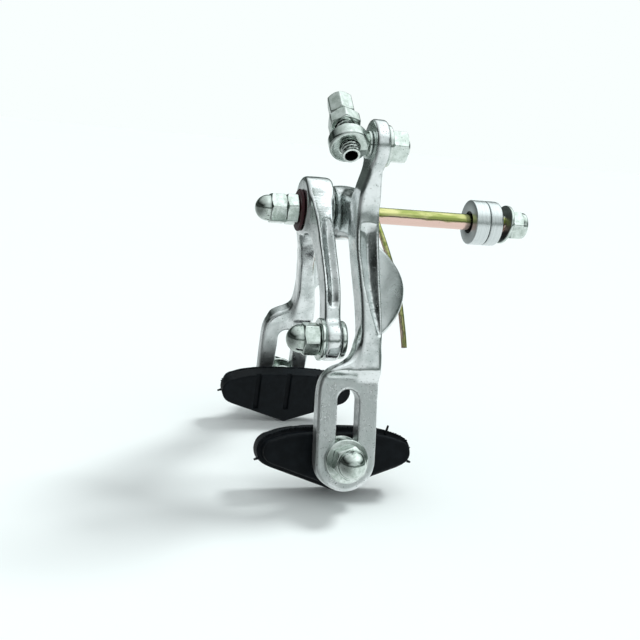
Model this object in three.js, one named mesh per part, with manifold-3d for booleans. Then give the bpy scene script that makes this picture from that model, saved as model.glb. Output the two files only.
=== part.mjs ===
// Single-pivot side-pull rim brake caliper, long reach, arms fully open.
// Millimetres, +Z up, +Y rearward along the pivot bolt, +X towards the cable side.
// Origin: on the pivot bolt's axis, in the face that seats against the fork crown.
import * as THREE from 'three';
import { mergeVertices } from 'three/addons/utils/BufferGeometryUtils.js';
import Module from 'manifold-3d';

const wasm = await Module();
wasm.setup();

// Driving dimensions
const clearance = 0.2; // between stacked pieces
const shaftClearance = 0.3; // between a shaft and the hole round it
const boltRadius = 3; // M6 throughout
const nutFlats = 10;
const roundSegments = 20;
const chamfer = 0.8;

const cHubFront = -27.0;
const cHubRear = -17.0;
const yHubFront = -16.0;
const yHubRear = -7.2;
const blockFront = -6.0;
const boltFrontEnd = -39.4;
const boltRearEnd = 61.0;
const rearBushingStart = 37.9;

const plateTilt = THREE.MathUtils.degToRad(11);
const plateThickness = 6;
const plateWidth = 20.2;
const slotWidth = 7;
const slotTravel = 19.5;
const studHeight = -75; // stud axis where it leaves the plate's outer face
const studOffset = 53.7; // and its distance from the middle plane
const plateCentreY = -17.5;

const padLength = 53.6;
const padTop = 9.4;
const padBottom = -12;
const padThickness = 11.4;
const padEndRadius = 5.6;

const anchorX = 36;
const anchorZ = -39;
const anchorFront = -24.6;
const anchorRear = -19.1;
const bossX = 29;
const bossZ = 25.5;
const bossFront = -12.6;
const bossRear = -7.9;
const bossRadius = 8.4;
const eyeY = -19.9;
const eyeTilt = THREE.MathUtils.degToRad(-51);
const springWireRadius = 1;

// Finishes
const finish = (color, roughness, metalness) =>
  new THREE.MeshStandardMaterial({ color, roughness, metalness });
const polishedAluminium = () => finish(0xd5d8d8, 0.25, 1);
const turnedAluminium = () => finish(0xc9cdcd, 0.35, 1);
const whiteZinc = () => finish(0xc2cac8, 0.3, 1);
const yellowZinc = () => finish(0xc9b97a, 0.3, 1);
const maroonFibre = () => finish(0x6d2f35, 0.6, 0);
const blackRubber = () => finish(0x15181a, 0.75, 0);
const nylon = () => finish(0xd9dde0, 0.5, 0);

// Solids
function solid(geometry) {
  const bare = geometry.index ? geometry.toNonIndexed() : geometry.clone();
  for (const name of Object.keys(bare.attributes)) {
    if (name !== 'position') bare.deleteAttribute(name);
  }
  const merged = mergeVertices(bare, 1e-4);
  const triVerts = keptTriangles(merged);
  const vertProperties = merged.attributes.position.array;
  return new wasm.Manifold(new wasm.Mesh({ numProp: 3, vertProperties, triVerts }));
}

function keptTriangles(geometry) {
  const index = geometry.index.array;
  const kept = [];
  for (let i = 0; i < index.length; i += 3) {
    const [a, b, c] = index.slice(i, i + 3);
    if (a !== b && b !== c && a !== c) kept.push(a, b, c);
  }
  return new Uint32Array(kept);
}

function geometryOf(manifold) {
  const mesh = manifold.getMesh();
  const geometry = new THREE.BufferGeometry();
  geometry.setAttribute('position', new THREE.Float32BufferAttribute(mesh.vertProperties, mesh.numProp));
  geometry.setIndex(new THREE.BufferAttribute(new Uint32Array(mesh.triVerts), 1));
  geometry.computeVertexNormals();
  return geometry;
}

const join = (...parts) => parts.map(asSolid).reduce((whole, part) => whole.add(part));
const cut = (body, ...tools) =>
  tools.map(asSolid).reduce((whole, tool) => whole.subtract(tool), asSolid(body));
const asSolid = (shape) => (shape.isBufferGeometry ? solid(shape) : shape);

function add(parent, name, shape, material) {
  const mesh = new THREE.Mesh(geometryOf(asSolid(shape)), material);
  mesh.name = name;
  parent.add(mesh);
  return mesh;
}

// Round solids turned about the Y axis; a profile is [radius, y] pairs, closed on itself
function turned(profile, segments = roundSegments) {
  const closed = [...profile, profile[0]].map(([r, y]) => new THREE.Vector2(r, y));
  return new THREE.LatheGeometry(closed, segments);
}

// A full round bar, its profile starting and ending on the axis
function bar(radius, start, end, edge = 0.3) {
  const points = [[0, start], [radius - edge, start], [radius, start + edge]];
  points.push([radius, end - edge], [radius - edge, end], [0, end]);
  return new THREE.LatheGeometry(points.map(([r, y]) => new THREE.Vector2(r, y)), roundSegments);
}

function ring(outer, inner, start, end, edge = 0.25) {
  return turned([
    [inner, start], [outer - edge, start], [outer, start + edge],
    [outer, end - edge], [outer - edge, end], [inner, end],
  ]);
}

// Hexagonal prism along Y, corners chamfered at the ends that are asked for
function hexBar(flats, start, end, turn = 0, chamferStart = true, chamferEnd = true) {
  const shape = new THREE.Shape();
  const corner = flats / Math.sqrt(3);
  for (let i = 0; i < 6; i += 1) {
    const angle = turn + (i * Math.PI) / 3;
    const method = i === 0 ? 'moveTo' : 'lineTo';
    shape[method](corner * Math.cos(angle), corner * Math.sin(angle));
  }
  const prism = new THREE.ExtrudeGeometry(shape, { depth: end - start, bevelEnabled: false });
  prism.rotateX(-Math.PI / 2).translate(0, start, 0);
  const flatRadius = flats / 2 - 0.1;
  const rise = (corner + 0.4 - flatRadius) * 0.6;
  const wide = corner + 0.4;
  const cone = new THREE.LatheGeometry([
    [0, start], [chamferStart ? flatRadius : wide, start], [wide, start + (chamferStart ? rise : 0.01)],
    [wide, end - (chamferEnd ? rise : 0.01)], [chamferEnd ? flatRadius : wide, end], [0, end],
  ].map(([r, y]) => new THREE.Vector2(r, y)), roundSegments);
  return solid(prism).intersect(solid(cone));
}

const hole = (radius, start, end) => bar(radius, start, end, 0.01);

function hexNut(start, end, turn = 0) {
  const nut = hexBar(nutFlats, start, end, turn);
  return cut(nut, hole(boltRadius + shaftClearance, start - 1, end + 1));
}

// Domed cap nut whose dome points along -Y; its blind hole opens at `seat`
function capNut(seat, hexHeight, domeRadius, turn = 0) {
  const hexFront = seat - hexHeight;
  const steps = 5;
  const profile = [[0, seat - 1], [domeRadius, seat - 1], [domeRadius, hexFront]];
  for (let i = 1; i <= steps; i += 1) {
    const angle = (i / steps) * (Math.PI / 2);
    profile.push([domeRadius * Math.cos(angle), hexFront - domeRadius * Math.sin(angle)]);
  }
  const dome = new THREE.LatheGeometry(profile.reverse().map(([r, y]) => new THREE.Vector2(Math.max(r, 0), y)),
    roundSegments);
  const body = join(hexBar(nutFlats, hexFront, seat, turn), dome);
  return cut(body, hole(boltRadius + shaftClearance, hexFront - 1.5, seat + 1));
}

// A bar of rounded-rectangle section lofted through stations {x, z, half, front, rear}.
// `half` is half its width in the XZ plane, and front and rear are its two Y faces.
function loft(stations, corner = 0.3) {
  const curve = (key) => new THREE.CatmullRomCurve3(stations.map((s) => new THREE.Vector3(s[key], 0, 0)));
  const keys = ['x', 'z', 'half', 'front', 'rear'];
  const curves = Object.fromEntries(keys.map((key) => [key, curve(key)]));
  const steps = (stations.length - 1) * 2;
  const rings = [];
  for (let i = 0; i <= steps; i += 1) {
    const at = Object.fromEntries(keys.map((key) => [key, curves[key].getPoint(i / steps).x]));
    const before = Math.max(i - 0.5, 0) / steps;
    const after = Math.min(i + 0.5, steps) / steps;
    const dx = curves.x.getPoint(after).x - curves.x.getPoint(before).x;
    const dz = curves.z.getPoint(after).x - curves.z.getPoint(before).x;
    const length = Math.hypot(dx, dz);
    rings.push(sectionRing(at, dz / length, -dx / length, corner));
  }
  return skin(rings);
}

// Eight points round a chamfered rectangle, in the plane of (nx, nz) and Y
function sectionRing(at, nx, nz, corner) {
  const halfY = (at.rear - at.front) / 2;
  const midY = (at.rear + at.front) / 2;
  const c = corner * Math.min(at.half, halfY);
  const outline = [
    [at.half, -halfY + c], [at.half, halfY - c], [at.half - c, halfY], [-at.half + c, halfY],
    [-at.half, halfY - c], [-at.half, -halfY + c], [-at.half + c, -halfY], [at.half - c, -halfY],
  ];
  const stationPoint = ([across, deep]) =>
    new THREE.Vector3(at.x + nx * across, midY + deep, at.z + nz * across);
  return outline.map(stationPoint);
}

function skin(rings) {
  const sides = rings[0].length;
  const positions = rings.flat().flatMap((p) => p.toArray());
  const index = [];
  for (let i = 0; i < rings.length - 1; i += 1) {
    for (let j = 0; j < sides; j += 1) {
      const a = i * sides + j;
      const b = i * sides + ((j + 1) % sides);
      index.push(a, b, b + sides, a, b + sides, a + sides);
    }
  }
  const last = (rings.length - 1) * sides;
  for (let j = 1; j < sides - 1; j += 1) {
    index.push(0, j + 1, j, last, last + j, last + j + 1);
  }
  const geometry = new THREE.BufferGeometry();
  geometry.setAttribute('position', new THREE.Float32BufferAttribute(positions, 3));
  geometry.setIndex(index);
  return facedOut(geometry);
}

// Turns the faces round if the shell's signed volume is negative
function facedOut(geometry) {
  const p = geometry.attributes.position;
  const index = geometry.index.array;
  const corners = [new THREE.Vector3(), new THREE.Vector3(), new THREE.Vector3()];
  let volume = 0;
  for (let i = 0; i < index.length; i += 3) {
    corners.forEach((corner, k) => corner.fromBufferAttribute(p, index[i + k]));
    volume += corners[0].dot(corners[1].clone().cross(corners[2]));
  }
  if (volume < 0) {
    for (let i = 0; i < index.length; i += 3) {
      [index[i + 1], index[i + 2]] = [index[i + 2], index[i + 1]];
    }
  }
  return geometry;
}

// Side frame at the stud: +Y out of the plate, +Z down along it, and X along the pivot bolt
function sideFrame(side) {
  const out = new THREE.Vector3(side * Math.cos(plateTilt), 0, Math.sin(plateTilt));
  const down = new THREE.Vector3(side * Math.sin(plateTilt), 0, -Math.cos(plateTilt));
  const along = new THREE.Vector3(0, side, 0);
  const matrix = new THREE.Matrix4().makeBasis(along, out, down);
  return matrix.setPosition(side * studOffset, plateCentreY, studHeight);
}

// Slotted pad plate, its rear edge flush with the leg and its front shoulder rounded
function padPlate(side) {
  const half = plateWidth / 2;
  const shape = new THREE.Shape();
  shape.moveTo(half, 0);
  shape.absarc(0, 0, half, 0, Math.PI, false);
  shape.lineTo(-half, -21);
  shape.quadraticCurveTo(-half, -28.5, -3.5, -30.5);
  shape.quadraticCurveTo(1.5, -32, 2.6, -38);
  shape.lineTo(half, -38);
  shape.lineTo(half, 0);
  const slot = new THREE.Path();
  slot.absarc(0, 0, slotWidth / 2, 0, Math.PI, false);
  slot.absarc(0, -slotTravel, slotWidth / 2, Math.PI, 2 * Math.PI, false);
  shape.holes.push(slot);
  const edge = 0.8;
  const depth = plateThickness - 2 * edge;
  const options = { depth, bevelSize: edge, bevelThickness: edge, bevelOffset: -edge };
  const plate = new THREE.ExtrudeGeometry(shape, { ...options, bevelSegments: 1, curveSegments: 8 });
  plate.translate(0, 0, edge - plateThickness);
  // drawing plane (x, y) is (along Y, down the plate); depth runs out of the plate
  const toPlate = new THREE.Matrix4().makeBasis(
    new THREE.Vector3(side, 0, 0), new THREE.Vector3(0, 0, 1), new THREE.Vector3(0, 1, 0));
  plate.applyMatrix4(toPlate).applyMatrix4(sideFrame(side));
  return facedOut(mergeVertices(bareGeometry(plate), 1e-4));
}

function bareGeometry(geometry) {
  const bare = geometry.index ? geometry.toNonIndexed() : geometry;
  bare.deleteAttribute('normal');
  bare.deleteAttribute('uv');
  return bare;
}

const station = (x, z, half, front, rear) => ({ x, z, half, front, rear });

function cArm() {
  const farLeg = loft([
    station(-2, 1, 9, cHubFront + 0.6, cHubRear - 0.4),
    station(-10, -4.5, 6.6, -26.0, -16.6),
    station(-19, -11, 5.5, -22.8, -15),
    station(-27.5, -19, 4.9, -19.8, -13.2),
    station(-34.5, -27.5, 4.6, -17.6, -11),
    station(-40.6, -36.5, 4.4, -16.2, -8.8),
    station(-45.6, -46, 3.9, -16.2, -7.6),
  ], 0.35);
  const nearLeg = loft([
    station(1, 1.8, 9.4, cHubFront + 0.6, cHubRear - 0.4),
    station(8.5, -1, 6.8, -26.0, -18.6),
    station(15, -5.5, 5.0, -25.2, -19.1),
    station(20.5, -11.5, 4.3, -24.8, -19.1),
    station(26, -17.6, 4.1, -24.6, -19.1),
    station(31, -24, 4.0, -24.6, -19.1),
    station(33.4, -30.5, 3.9, -24.6, -19.1),
    station(anchorX, anchorZ + 1, 4.4, -24.6, -19.1),
  ], 0.35);
  const hub = bar(10.6, cHubFront, cHubRear, chamfer).translate(0, 0, 1.6);
  const boss = bar(7, anchorFront, anchorRear, 0.6).translate(anchorX, 0, anchorZ);
  const lug = springLug(-31.5, 37, -12.2, -3.4, -17, -33);
  const body = join(hub, farLeg, nearLeg, boss, padPlate(-1), lug);
  const pivotHole = hole(boltRadius + shaftClearance, cHubFront - 5, cHubRear + 5);
  const anchorHole = hole(boltRadius + shaftClearance, anchorFront - 5, anchorRear + 5);
  return cut(body, pivotHole, anchorHole.translate(anchorX, 0, anchorZ));
}

// Curved ear behind a leg that the spring's leg presses against, in the plane X = x
function springLug(x, lean, front, rear, top, bottom) {
  const thick = 3.2;
  const shape = new THREE.Shape();
  const reach = rear - front;
  shape.moveTo(front, top + 4);
  shape.bezierCurveTo(rear - 0.65 * reach, top, rear, top - 6, rear, (top + bottom) / 2);
  shape.bezierCurveTo(rear, bottom + 6, rear - 0.4 * reach, bottom, front, bottom - 6);
  shape.closePath();
  const ear = new THREE.ExtrudeGeometry(shape, { depth: thick, bevelEnabled: false, curveSegments: 6 });
  const toPlane = new THREE.Matrix4().makeBasis(
    new THREE.Vector3(0, 1, 0), new THREE.Vector3(0, 0, 1), new THREE.Vector3(1, 0, 0));
  const middle = (top + bottom) / 2;
  ear.translate(0, -middle, -thick / 2).applyMatrix4(toPlane);
  return ear.rotateY(THREE.MathUtils.degToRad(lean)).translate(x, 0, middle);
}

function yArm() {
  const bridge = loft([
    station(0, 0, 9.4, yHubFront + 0.3, yHubRear - 0.3),
    station(9, 0.3, 9.2, yHubFront + 0.3, yHubRear - 0.3),
    station(19, 0.2, 9.6, -15.6, -7.3),
    station(29, 0, 11, -15.2, -7.4),
  ], 0.35);
  const upright = loft([
    station(bossX, bossZ - 2, 5.2, -12.2, bossRear),
    station(28.8, 17, 4.9, -13.4, -8.3),
    station(28.4, 10, 4.9, -15.0, -8.0),
    station(28.2, 2, 5.2, -15.2, -7.6),
    station(30, -9, 4.9, -15.2, -7.2),
    station(34, -19, 4.7, -14.4, -7.0),
    station(38.6, -28.5, 4.6, -13.9, -6.9),
    station(42.6, -37, 4.4, -14.2, -7.0),
    station(46, -46, 3.9, -15.4, -7.4),
  ], 0.35);
  const hub = bar(9.5, yHubFront, yHubRear, chamfer);
  const boss = bar(bossRadius, bossFront, bossRear, chamfer).translate(bossX, 0, bossZ);
  const lug = springLug(30.8, -22, -9, 4.6, -7.8, -35.5);
  const body = join(hub, bridge, upright, boss, padPlate(1), lug);
  const pivotHole = hole(boltRadius + shaftClearance, yHubFront - 5, yHubRear + 5);
  const eyeHole = hole(boltRadius + shaftClearance, bossFront - 8, bossRear + 8);
  return cut(body, pivotHole, eyeHole.translate(bossX, 0, bossZ));
}

// Brake pad: long flat top, rounded ends and a shallow V underneath; the braking face is grooved
function padBlock() {
  const half = padLength / 2;
  const shape = new THREE.Shape();
  const endCentre = 1.4; // the end's rounding sits this far above the stud axis
  const left = -half + padEndRadius;
  shape.moveTo(0, -padBottom);
  shape.lineTo(left - 1, -endCentre + padEndRadius);
  shape.absarc(left, -endCentre, padEndRadius, Math.PI * 0.62, Math.PI * 1.45, false);
  shape.quadraticCurveTo(-half * 0.5, -padTop, 0, -padTop);
  shape.quadraticCurveTo(half * 0.5, -padTop, half - padEndRadius * 0.9, -endCentre - padEndRadius);
  shape.absarc(-left, -endCentre, padEndRadius, Math.PI * 1.55, Math.PI * 2.38, false);
  shape.closePath();
  const back = -plateThickness - 2.6;
  const block = new THREE.ExtrudeGeometry(shape, {
    depth: padThickness - 1.2, bevelSize: 0.6, bevelThickness: 0.6, bevelOffset: -0.6, bevelSegments: 1,
    curveSegments: 8,
  });
  const toPad = new THREE.Matrix4().makeBasis(
    new THREE.Vector3(1, 0, 0), new THREE.Vector3(0, 0, 1), new THREE.Vector3(0, 1, 0));
  block.translate(0, 0, back - padThickness + 0.6).applyMatrix4(toPad);
  const rubber = facedOut(mergeVertices(bareGeometry(block), 1e-4));
  const neck = bar(7, back - 1, back + 0.8, 0.3);
  const grooves = [-1, 0, 1].map((place) => {
    const groove = new THREE.BoxGeometry(1.8, 2.4, padTop + 6);
    return groove.translate(place * 12.5, back - padThickness, -1.5);
  });
  const studHole = hole(boltRadius + shaftClearance, back - 7, back + 5);
  return cut(join(rubber, neck), ...grooves, studHole);
}

// Spring: over the bolt in the block's groove, out on each side and down inside the ears
function returnSpring() {
  const points = [
    [-28, -10, -34], [-26.4, -9.9, -27], [-24.2, -9.6, -20], [-21.4, -8.8, -13], [-17.6, -6.6, -5],
    [-12.5, -5.0, 2.2], [-6, -4.6, 5.4], [0, -4.6, 5.6], [6, -4.6, 5.4], [13, -4.5, 3.2], [18.6, -3.4, -2],
    [22, -1.2, -8.5], [25, 1.6, -17], [27.8, 4, -26.5], [30, 5.6, -36], [31.2, 6.4, -42],
  ];
  const path = new THREE.CatmullRomCurve3(points.map((p) => new THREE.Vector3(...p)));
  const section = new THREE.Shape().absarc(0, 0, springWireRadius, 0, Math.PI * 2, false);
  return new THREE.ExtrudeGeometry(section, { steps: 36, curveSegments: 4, extrudePath: path });
}

function springBlock() {
  const body = cut(bar(8.4, blockFront, 0, 0.5), hole(boltRadius + shaftClearance, blockFront - 1, 1));
  const groove = new THREE.BoxGeometry(20, 2.8, 2.8);
  return cut(body, groove.translate(0, -4.7, 5.5));
}

function adjusterBarrel() {
  const head = hexBar(8, 13.2, 21.6, 0.25);
  const shank = bar(boltRadius, -6.4, 14, 0.4);
  const bore = hole(1.95, -8, 23);
  const housingSeat = hole(2.7, 17, 23);
  return cut(join(head, shank), bore, housingSeat);
}

// Assembly
const caliper = new THREE.Group();

function addPivotStack() {
  add(caliper, 'pivot_bolt', bar(boltRadius, boltFrontEnd, boltRearEnd, 0.6), yellowZinc());
  add(caliper, 'front_cap_nut', capNut(-32.8, 5.6, 4.6, 0.2), whiteZinc());
  add(caliper, 'front_lock_nut', hexNut(-32.6, -28.3, 0.3), whiteZinc());
  const washerHole = boltRadius + shaftClearance;
  add(caliper, 'front_washer', ring(7.5, washerHole, -28.1, -27.2), maroonFibre());
  const middleWasher = ring(7.8, washerHole, cHubRear + clearance, yHubFront - clearance);
  add(caliper, 'middle_washer', middleWasher, whiteZinc());
  const rearWasher = ring(7.8, washerHole, yHubRear + clearance, blockFront - clearance);
  add(caliper, 'rear_pivot_washer', rearWasher, whiteZinc());
  add(caliper, 'spring_block', springBlock(), turnedAluminium());
  add(caliper, 'return_spring', returnSpring(), yellowZinc());
  add(caliper, 'seat_bushing_front', ring(8.3, washerHole, rearBushingStart, 43.4, 0.4), turnedAluminium());
  add(caliper, 'seat_bushing_rear', ring(8.3, washerHole, 43.6, 48.8, 0.8), turnedAluminium());
  add(caliper, 'rear_washer', ring(6.7, washerHole, 50.2, 51.5), whiteZinc());
  const lockNut = cut(join(hexBar(nutFlats, 52.0, 58.2, 0.1, true, false), bar(4.7, 57, 60.2, 0.5)),
    hole(washerHole, 51, 62), hole(4.0, 57.8, 59.6));
  add(caliper, 'rear_lock_nut', lockNut, whiteZinc());
  add(caliper, 'lock_nut_insert', ring(3.8, washerHole, 58.0, 59.4, 0.1), nylon());
}

function addAnchor() {
  const anchor = new THREE.Group();
  anchor.position.set(anchorX, 0, anchorZ);
  const flange = bar(6.4, anchorRear + clearance, anchorRear + 1.5, 0.4);
  const cableHole = hole(1, -10, 10).rotateX(Math.PI / 2).translate(0, anchorFront, 0);
  const bolt = cut(join(flange, bar(boltRadius, anchorFront - 7.2, anchorRear + 1.2, 0.4)), cableHole);
  add(anchor, 'anchor_bolt', bolt, whiteZinc());
  const washer = ring(7.1, boltRadius + shaftClearance, anchorFront - 1.3, anchorFront - clearance);
  add(anchor, 'anchor_washer', washer, whiteZinc());
  add(anchor, 'anchor_cap_nut', capNut(anchorFront - 1.5, 5.4, 4.7, 0), whiteZinc());
  caliper.add(anchor);
}

function addAdjuster() {
  const swivel = new THREE.Group();
  swivel.position.set(bossX, 0, bossZ);
  swivel.rotation.y = eyeTilt;
  const eye = ring(6.65, boltRadius + shaftClearance, -2.5, 2.5, 0.8).rotateX(Math.PI / 2);
  eye.translate(0, eyeY, 0);
  const shank = bar(boltRadius, eyeY + 4.6, 0.6, 0.5);
  const collar = bar(4.6, eyeY + 6.1, bossFront - clearance, 0.3);
  add(swivel, 'adjuster_eyebolt', join(eye, shank, collar), whiteZinc());
  const shaftHole = boltRadius + shaftClearance;
  add(swivel, 'eyebolt_washer', ring(6.9, shaftHole, bossRear + clearance, bossRear + 1.6), whiteZinc());
  add(swivel, 'eyebolt_nut', hexNut(bossRear + 1.8, bossRear + 7.4, 0.25), whiteZinc());
  const barrel = new THREE.Group();
  barrel.position.set(0, eyeY, 0);
  barrel.rotation.x = Math.PI / 2;
  add(barrel, 'adjuster_barrel', adjusterBarrel(), whiteZinc());
  const nut = hexBar(nutFlats, 7.2, 11.6, 0.15);
  add(barrel, 'adjuster_lock_nut', cut(nut, hole(shaftHole, 6, 13)), whiteZinc());
  swivel.add(barrel);
  caliper.add(swivel);
}

function addPad(side, sideName) {
  const frame = new THREE.Group();
  frame.applyMatrix4(sideFrame(side));
  const shaftHole = boltRadius + shaftClearance;
  const inner = -plateThickness;
  add(frame, `${sideName}_pad_outer_washer`, ring(7.2, shaftHole, 0.3, 1.5), whiteZinc());
  add(frame, `${sideName}_pad_inner_washer`, ring(7.4, shaftHole, inner - 1.5, inner - 0.3), whiteZinc());
  add(frame, `${sideName}_pad_rubber`, padBlock(), blackRubber());
  add(frame, `${sideName}_pad_stud`, bar(boltRadius, inner - 9, 7.9, 0.4), whiteZinc());
  const nut = asSolid(capNut(-1.8, 5, 4.6, 0.35)).rotate([180, 0, 0]);
  add(frame, `${sideName}_pad_cap_nut`, nut, whiteZinc());
  caliper.add(frame);
}

add(caliper, 'c_arm', cArm(), polishedAluminium());
add(caliper, 'y_arm', yArm(), polishedAluminium());
addPivotStack();
addAnchor();
addAdjuster();
addPad(1, 'right');
addPad(-1, 'left');

export default caliper;
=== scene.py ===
# Side-pull rim brake caliper: cast arms, plated hardware, rubber pads and a wire spring,
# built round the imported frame. Sizes in the settings are millimetres; meshes are made in metres.
import math

import bmesh
import bpy
import numpy as np
import openvdb
from mathutils import Matrix, Vector


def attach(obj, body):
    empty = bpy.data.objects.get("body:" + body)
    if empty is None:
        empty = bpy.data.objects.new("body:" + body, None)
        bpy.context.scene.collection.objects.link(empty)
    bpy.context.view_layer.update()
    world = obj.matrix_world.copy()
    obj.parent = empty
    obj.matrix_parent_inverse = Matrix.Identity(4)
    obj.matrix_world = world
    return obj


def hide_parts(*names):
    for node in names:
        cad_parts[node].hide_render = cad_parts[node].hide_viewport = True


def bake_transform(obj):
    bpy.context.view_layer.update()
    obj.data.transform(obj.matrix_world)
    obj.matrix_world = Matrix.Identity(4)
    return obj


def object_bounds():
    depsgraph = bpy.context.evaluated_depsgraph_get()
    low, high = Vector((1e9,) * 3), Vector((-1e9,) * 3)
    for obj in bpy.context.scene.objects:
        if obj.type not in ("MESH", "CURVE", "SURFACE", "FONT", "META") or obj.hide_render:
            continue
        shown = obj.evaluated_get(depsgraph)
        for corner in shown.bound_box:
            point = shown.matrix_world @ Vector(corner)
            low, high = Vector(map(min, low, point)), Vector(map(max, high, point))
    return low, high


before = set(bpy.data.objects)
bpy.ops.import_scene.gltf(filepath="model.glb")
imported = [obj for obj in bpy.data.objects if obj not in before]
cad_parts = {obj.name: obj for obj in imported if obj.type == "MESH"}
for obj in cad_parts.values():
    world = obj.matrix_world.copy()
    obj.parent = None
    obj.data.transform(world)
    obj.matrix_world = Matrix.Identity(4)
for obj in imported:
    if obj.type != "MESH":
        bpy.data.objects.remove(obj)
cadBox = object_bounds()

mm = 0.001
tau = 2 * math.pi
print("caliper: frame loaded,", len(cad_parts), "nodes")

# Camera first, so that every piece is judged through it
view = {"place": (0.34266, -0.10962, 0.02957), "lens": 55.27, "clip": 0.01,
        "right": (0.24542, 0.96497, 0.09281), "up": (-0.20888, -0.04093, 0.97687),
        "back": (0.94684, -0.25874, 0.19125)}


def makeCamera():
    data = bpy.data.cameras.new("camera")
    data.lens = view["lens"]
    data.clip_start = view["clip"]
    camera = bpy.data.objects.new("camera", data)
    turn = Matrix((view["right"], view["up"], view["back"])).transposed().to_4x4()
    camera.matrix_world = Matrix.Translation(view["place"]) @ turn
    bpy.context.scene.collection.objects.link(camera)
    bpy.context.scene.camera = camera


makeCamera()


# Mesh helpers
def linked(obj):
    bpy.context.scene.collection.objects.link(obj)
    return obj


def meshObject(name, points, faces, smooth=None):
    mesh = bpy.data.meshes.new(name)
    mesh.from_pydata([tuple(p) for p in points], [], [tuple(f) for f in faces])
    work = bmesh.new()
    work.from_mesh(mesh)
    bmesh.ops.remove_doubles(work, verts=work.verts, dist=1e-6)
    bmesh.ops.recalc_face_normals(work, faces=work.faces)
    work.to_mesh(mesh)
    work.free()
    finishShading(mesh, smooth)
    return linked(bpy.data.objects.new(name, mesh))


def finishShading(mesh, smooth):
    mesh.shade_smooth()
    if smooth:
        mesh.set_sharp_from_angle(angle=math.radians(smooth))


def vertexPlaces(obj):
    places = np.zeros(len(obj.data.vertices) * 3, np.float32)
    obj.data.vertices.foreach_get("co", places)
    return (places.reshape(-1, 3) / mm).T


def markPoints(obj, name, value):
    attribute = obj.data.attributes.new(name, "FLOAT", "POINT")
    attribute.data.foreach_set("value", value.astype(np.float32))
    return obj


# Painted shade inside bores and thread roots and on a washer face, marked before the piece is put in place
def markPaintedShade(obj, radius, start=-1e3, end=1e3, amount=1.0):
    x, y, z = vertexPlaces(obj)
    return markPoints(obj, "paintedShade", ((np.hypot(x, z) < radius) & (y > start) & (y < end)) * amount)


def placed(obj, matrix):
    obj.data.transform(matrix)
    obj.data.update()
    return obj


def shiftY(y):
    return Matrix.Translation((0, y * mm, 0))


# Geometry nodes helpers
def newTree(name, sockets):
    tree = bpy.data.node_groups.new(name, "GeometryNodeTree")
    tree.interface.new_socket("Geometry", in_out="INPUT", socket_type="NodeSocketGeometry")
    for label, kind, value in sockets:
        socket = tree.interface.new_socket(label, in_out="INPUT", socket_type="NodeSocket" + kind)
        socket.default_value = value
    tree.interface.new_socket("Finish", in_out="INPUT", socket_type="NodeSocketMaterial")
    tree.interface.new_socket("Geometry", in_out="OUTPUT", socket_type="NodeSocketGeometry")
    return tree, tree.nodes.new("NodeGroupInput").outputs


def addNode(tree, kind, links=(), **settings):
    node = tree.nodes.new(kind)
    for key, value in settings.items():
        setattr(node, key, value)
    for socket, source in dict(links).items():
        if hasattr(source, "is_output"):
            tree.links.new(source, node.inputs[socket])
        else:
            node.inputs[socket].default_value = source
    return node


def mathOf(tree, operation, a, b=0.0, c=0.0):
    return addNode(tree, "ShaderNodeMath", {0: a, 1: b, 2: c}, operation=operation).outputs[0]


def vectorOf(tree, operation, a, b=(0, 0, 0)):
    second = "Scale" if operation == "SCALE" else 1
    return addNode(tree, "ShaderNodeVectorMath", {0: a, second: b}, operation=operation).outputs[0]


def lengthOf(tree, vector):
    return addNode(tree, "ShaderNodeVectorMath", {0: vector}, operation="LENGTH").outputs["Value"]


def partsOf(tree, vector):
    return addNode(tree, "ShaderNodeSeparateXYZ", {0: vector}).outputs


def spanOf(tree, value, low, high, start=0.0, end=1.0):
    links = {"Value": value, "From Min": low, "From Max": high, "To Min": start, "To Max": end}
    return addNode(tree, "ShaderNodeMapRange", links).outputs[0]


def closeTree(tree, geometry, finish):
    real = addNode(tree, "GeometryNodeRealizeInstances", {"Geometry": geometry})
    done = addNode(tree, "GeometryNodeSetMaterial", {"Geometry": real.outputs[0], "Material": finish})
    out = tree.nodes.new("NodeGroupOutput")
    tree.links.new(done.outputs[0], out.inputs[0])
    return tree


def runTree(obj, tree, values):
    modifier = obj.modifiers.new("made", "NODES")
    modifier.node_group = tree
    for item in tree.interface.items_tree:
        if item.in_out == "INPUT" and item.name in values:
            modifier[item.identifier] = values[item.name]
    bpy.context.view_layer.update()
    evaluated = obj.evaluated_get(bpy.context.evaluated_depsgraph_get())
    mesh = bpy.data.meshes.new_from_object(evaluated)
    name = obj.name
    bpy.data.objects.remove(obj)
    mesh.name = name
    return linked(bpy.data.objects.new(name, mesh))


# Shader helpers
def newGroup(name, inputs, outputs):
    group = bpy.data.node_groups.new(name, "ShaderNodeTree")
    for label, kind, value in inputs:
        socket = group.interface.new_socket(label, in_out="INPUT", socket_type="NodeSocket" + kind)
        if value is not None:
            socket.default_value = value
    for label, kind in outputs:
        group.interface.new_socket(label, in_out="OUTPUT", socket_type="NodeSocket" + kind)
    return group, group.nodes.new("NodeGroupInput").outputs, group.nodes.new("NodeGroupOutput").inputs


def noiseOf(tree, place, scale, detail=3.0, roughness=0.55):
    links = {"Vector": place, "Scale": scale, "Detail": detail, "Roughness": roughness}
    return addNode(tree, "ShaderNodeTexNoise", links).outputs[0]


def rampOf(tree, value, low, high):
    links = {"Value": value, "From Min": low, "From Max": high}
    return addNode(tree, "ShaderNodeMapRange", links, interpolation_type="SMOOTHSTEP").outputs[0]


def attributeOf(tree, name):
    return addNode(tree, "ShaderNodeAttribute", attribute_name=name).outputs["Fac"]


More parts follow.
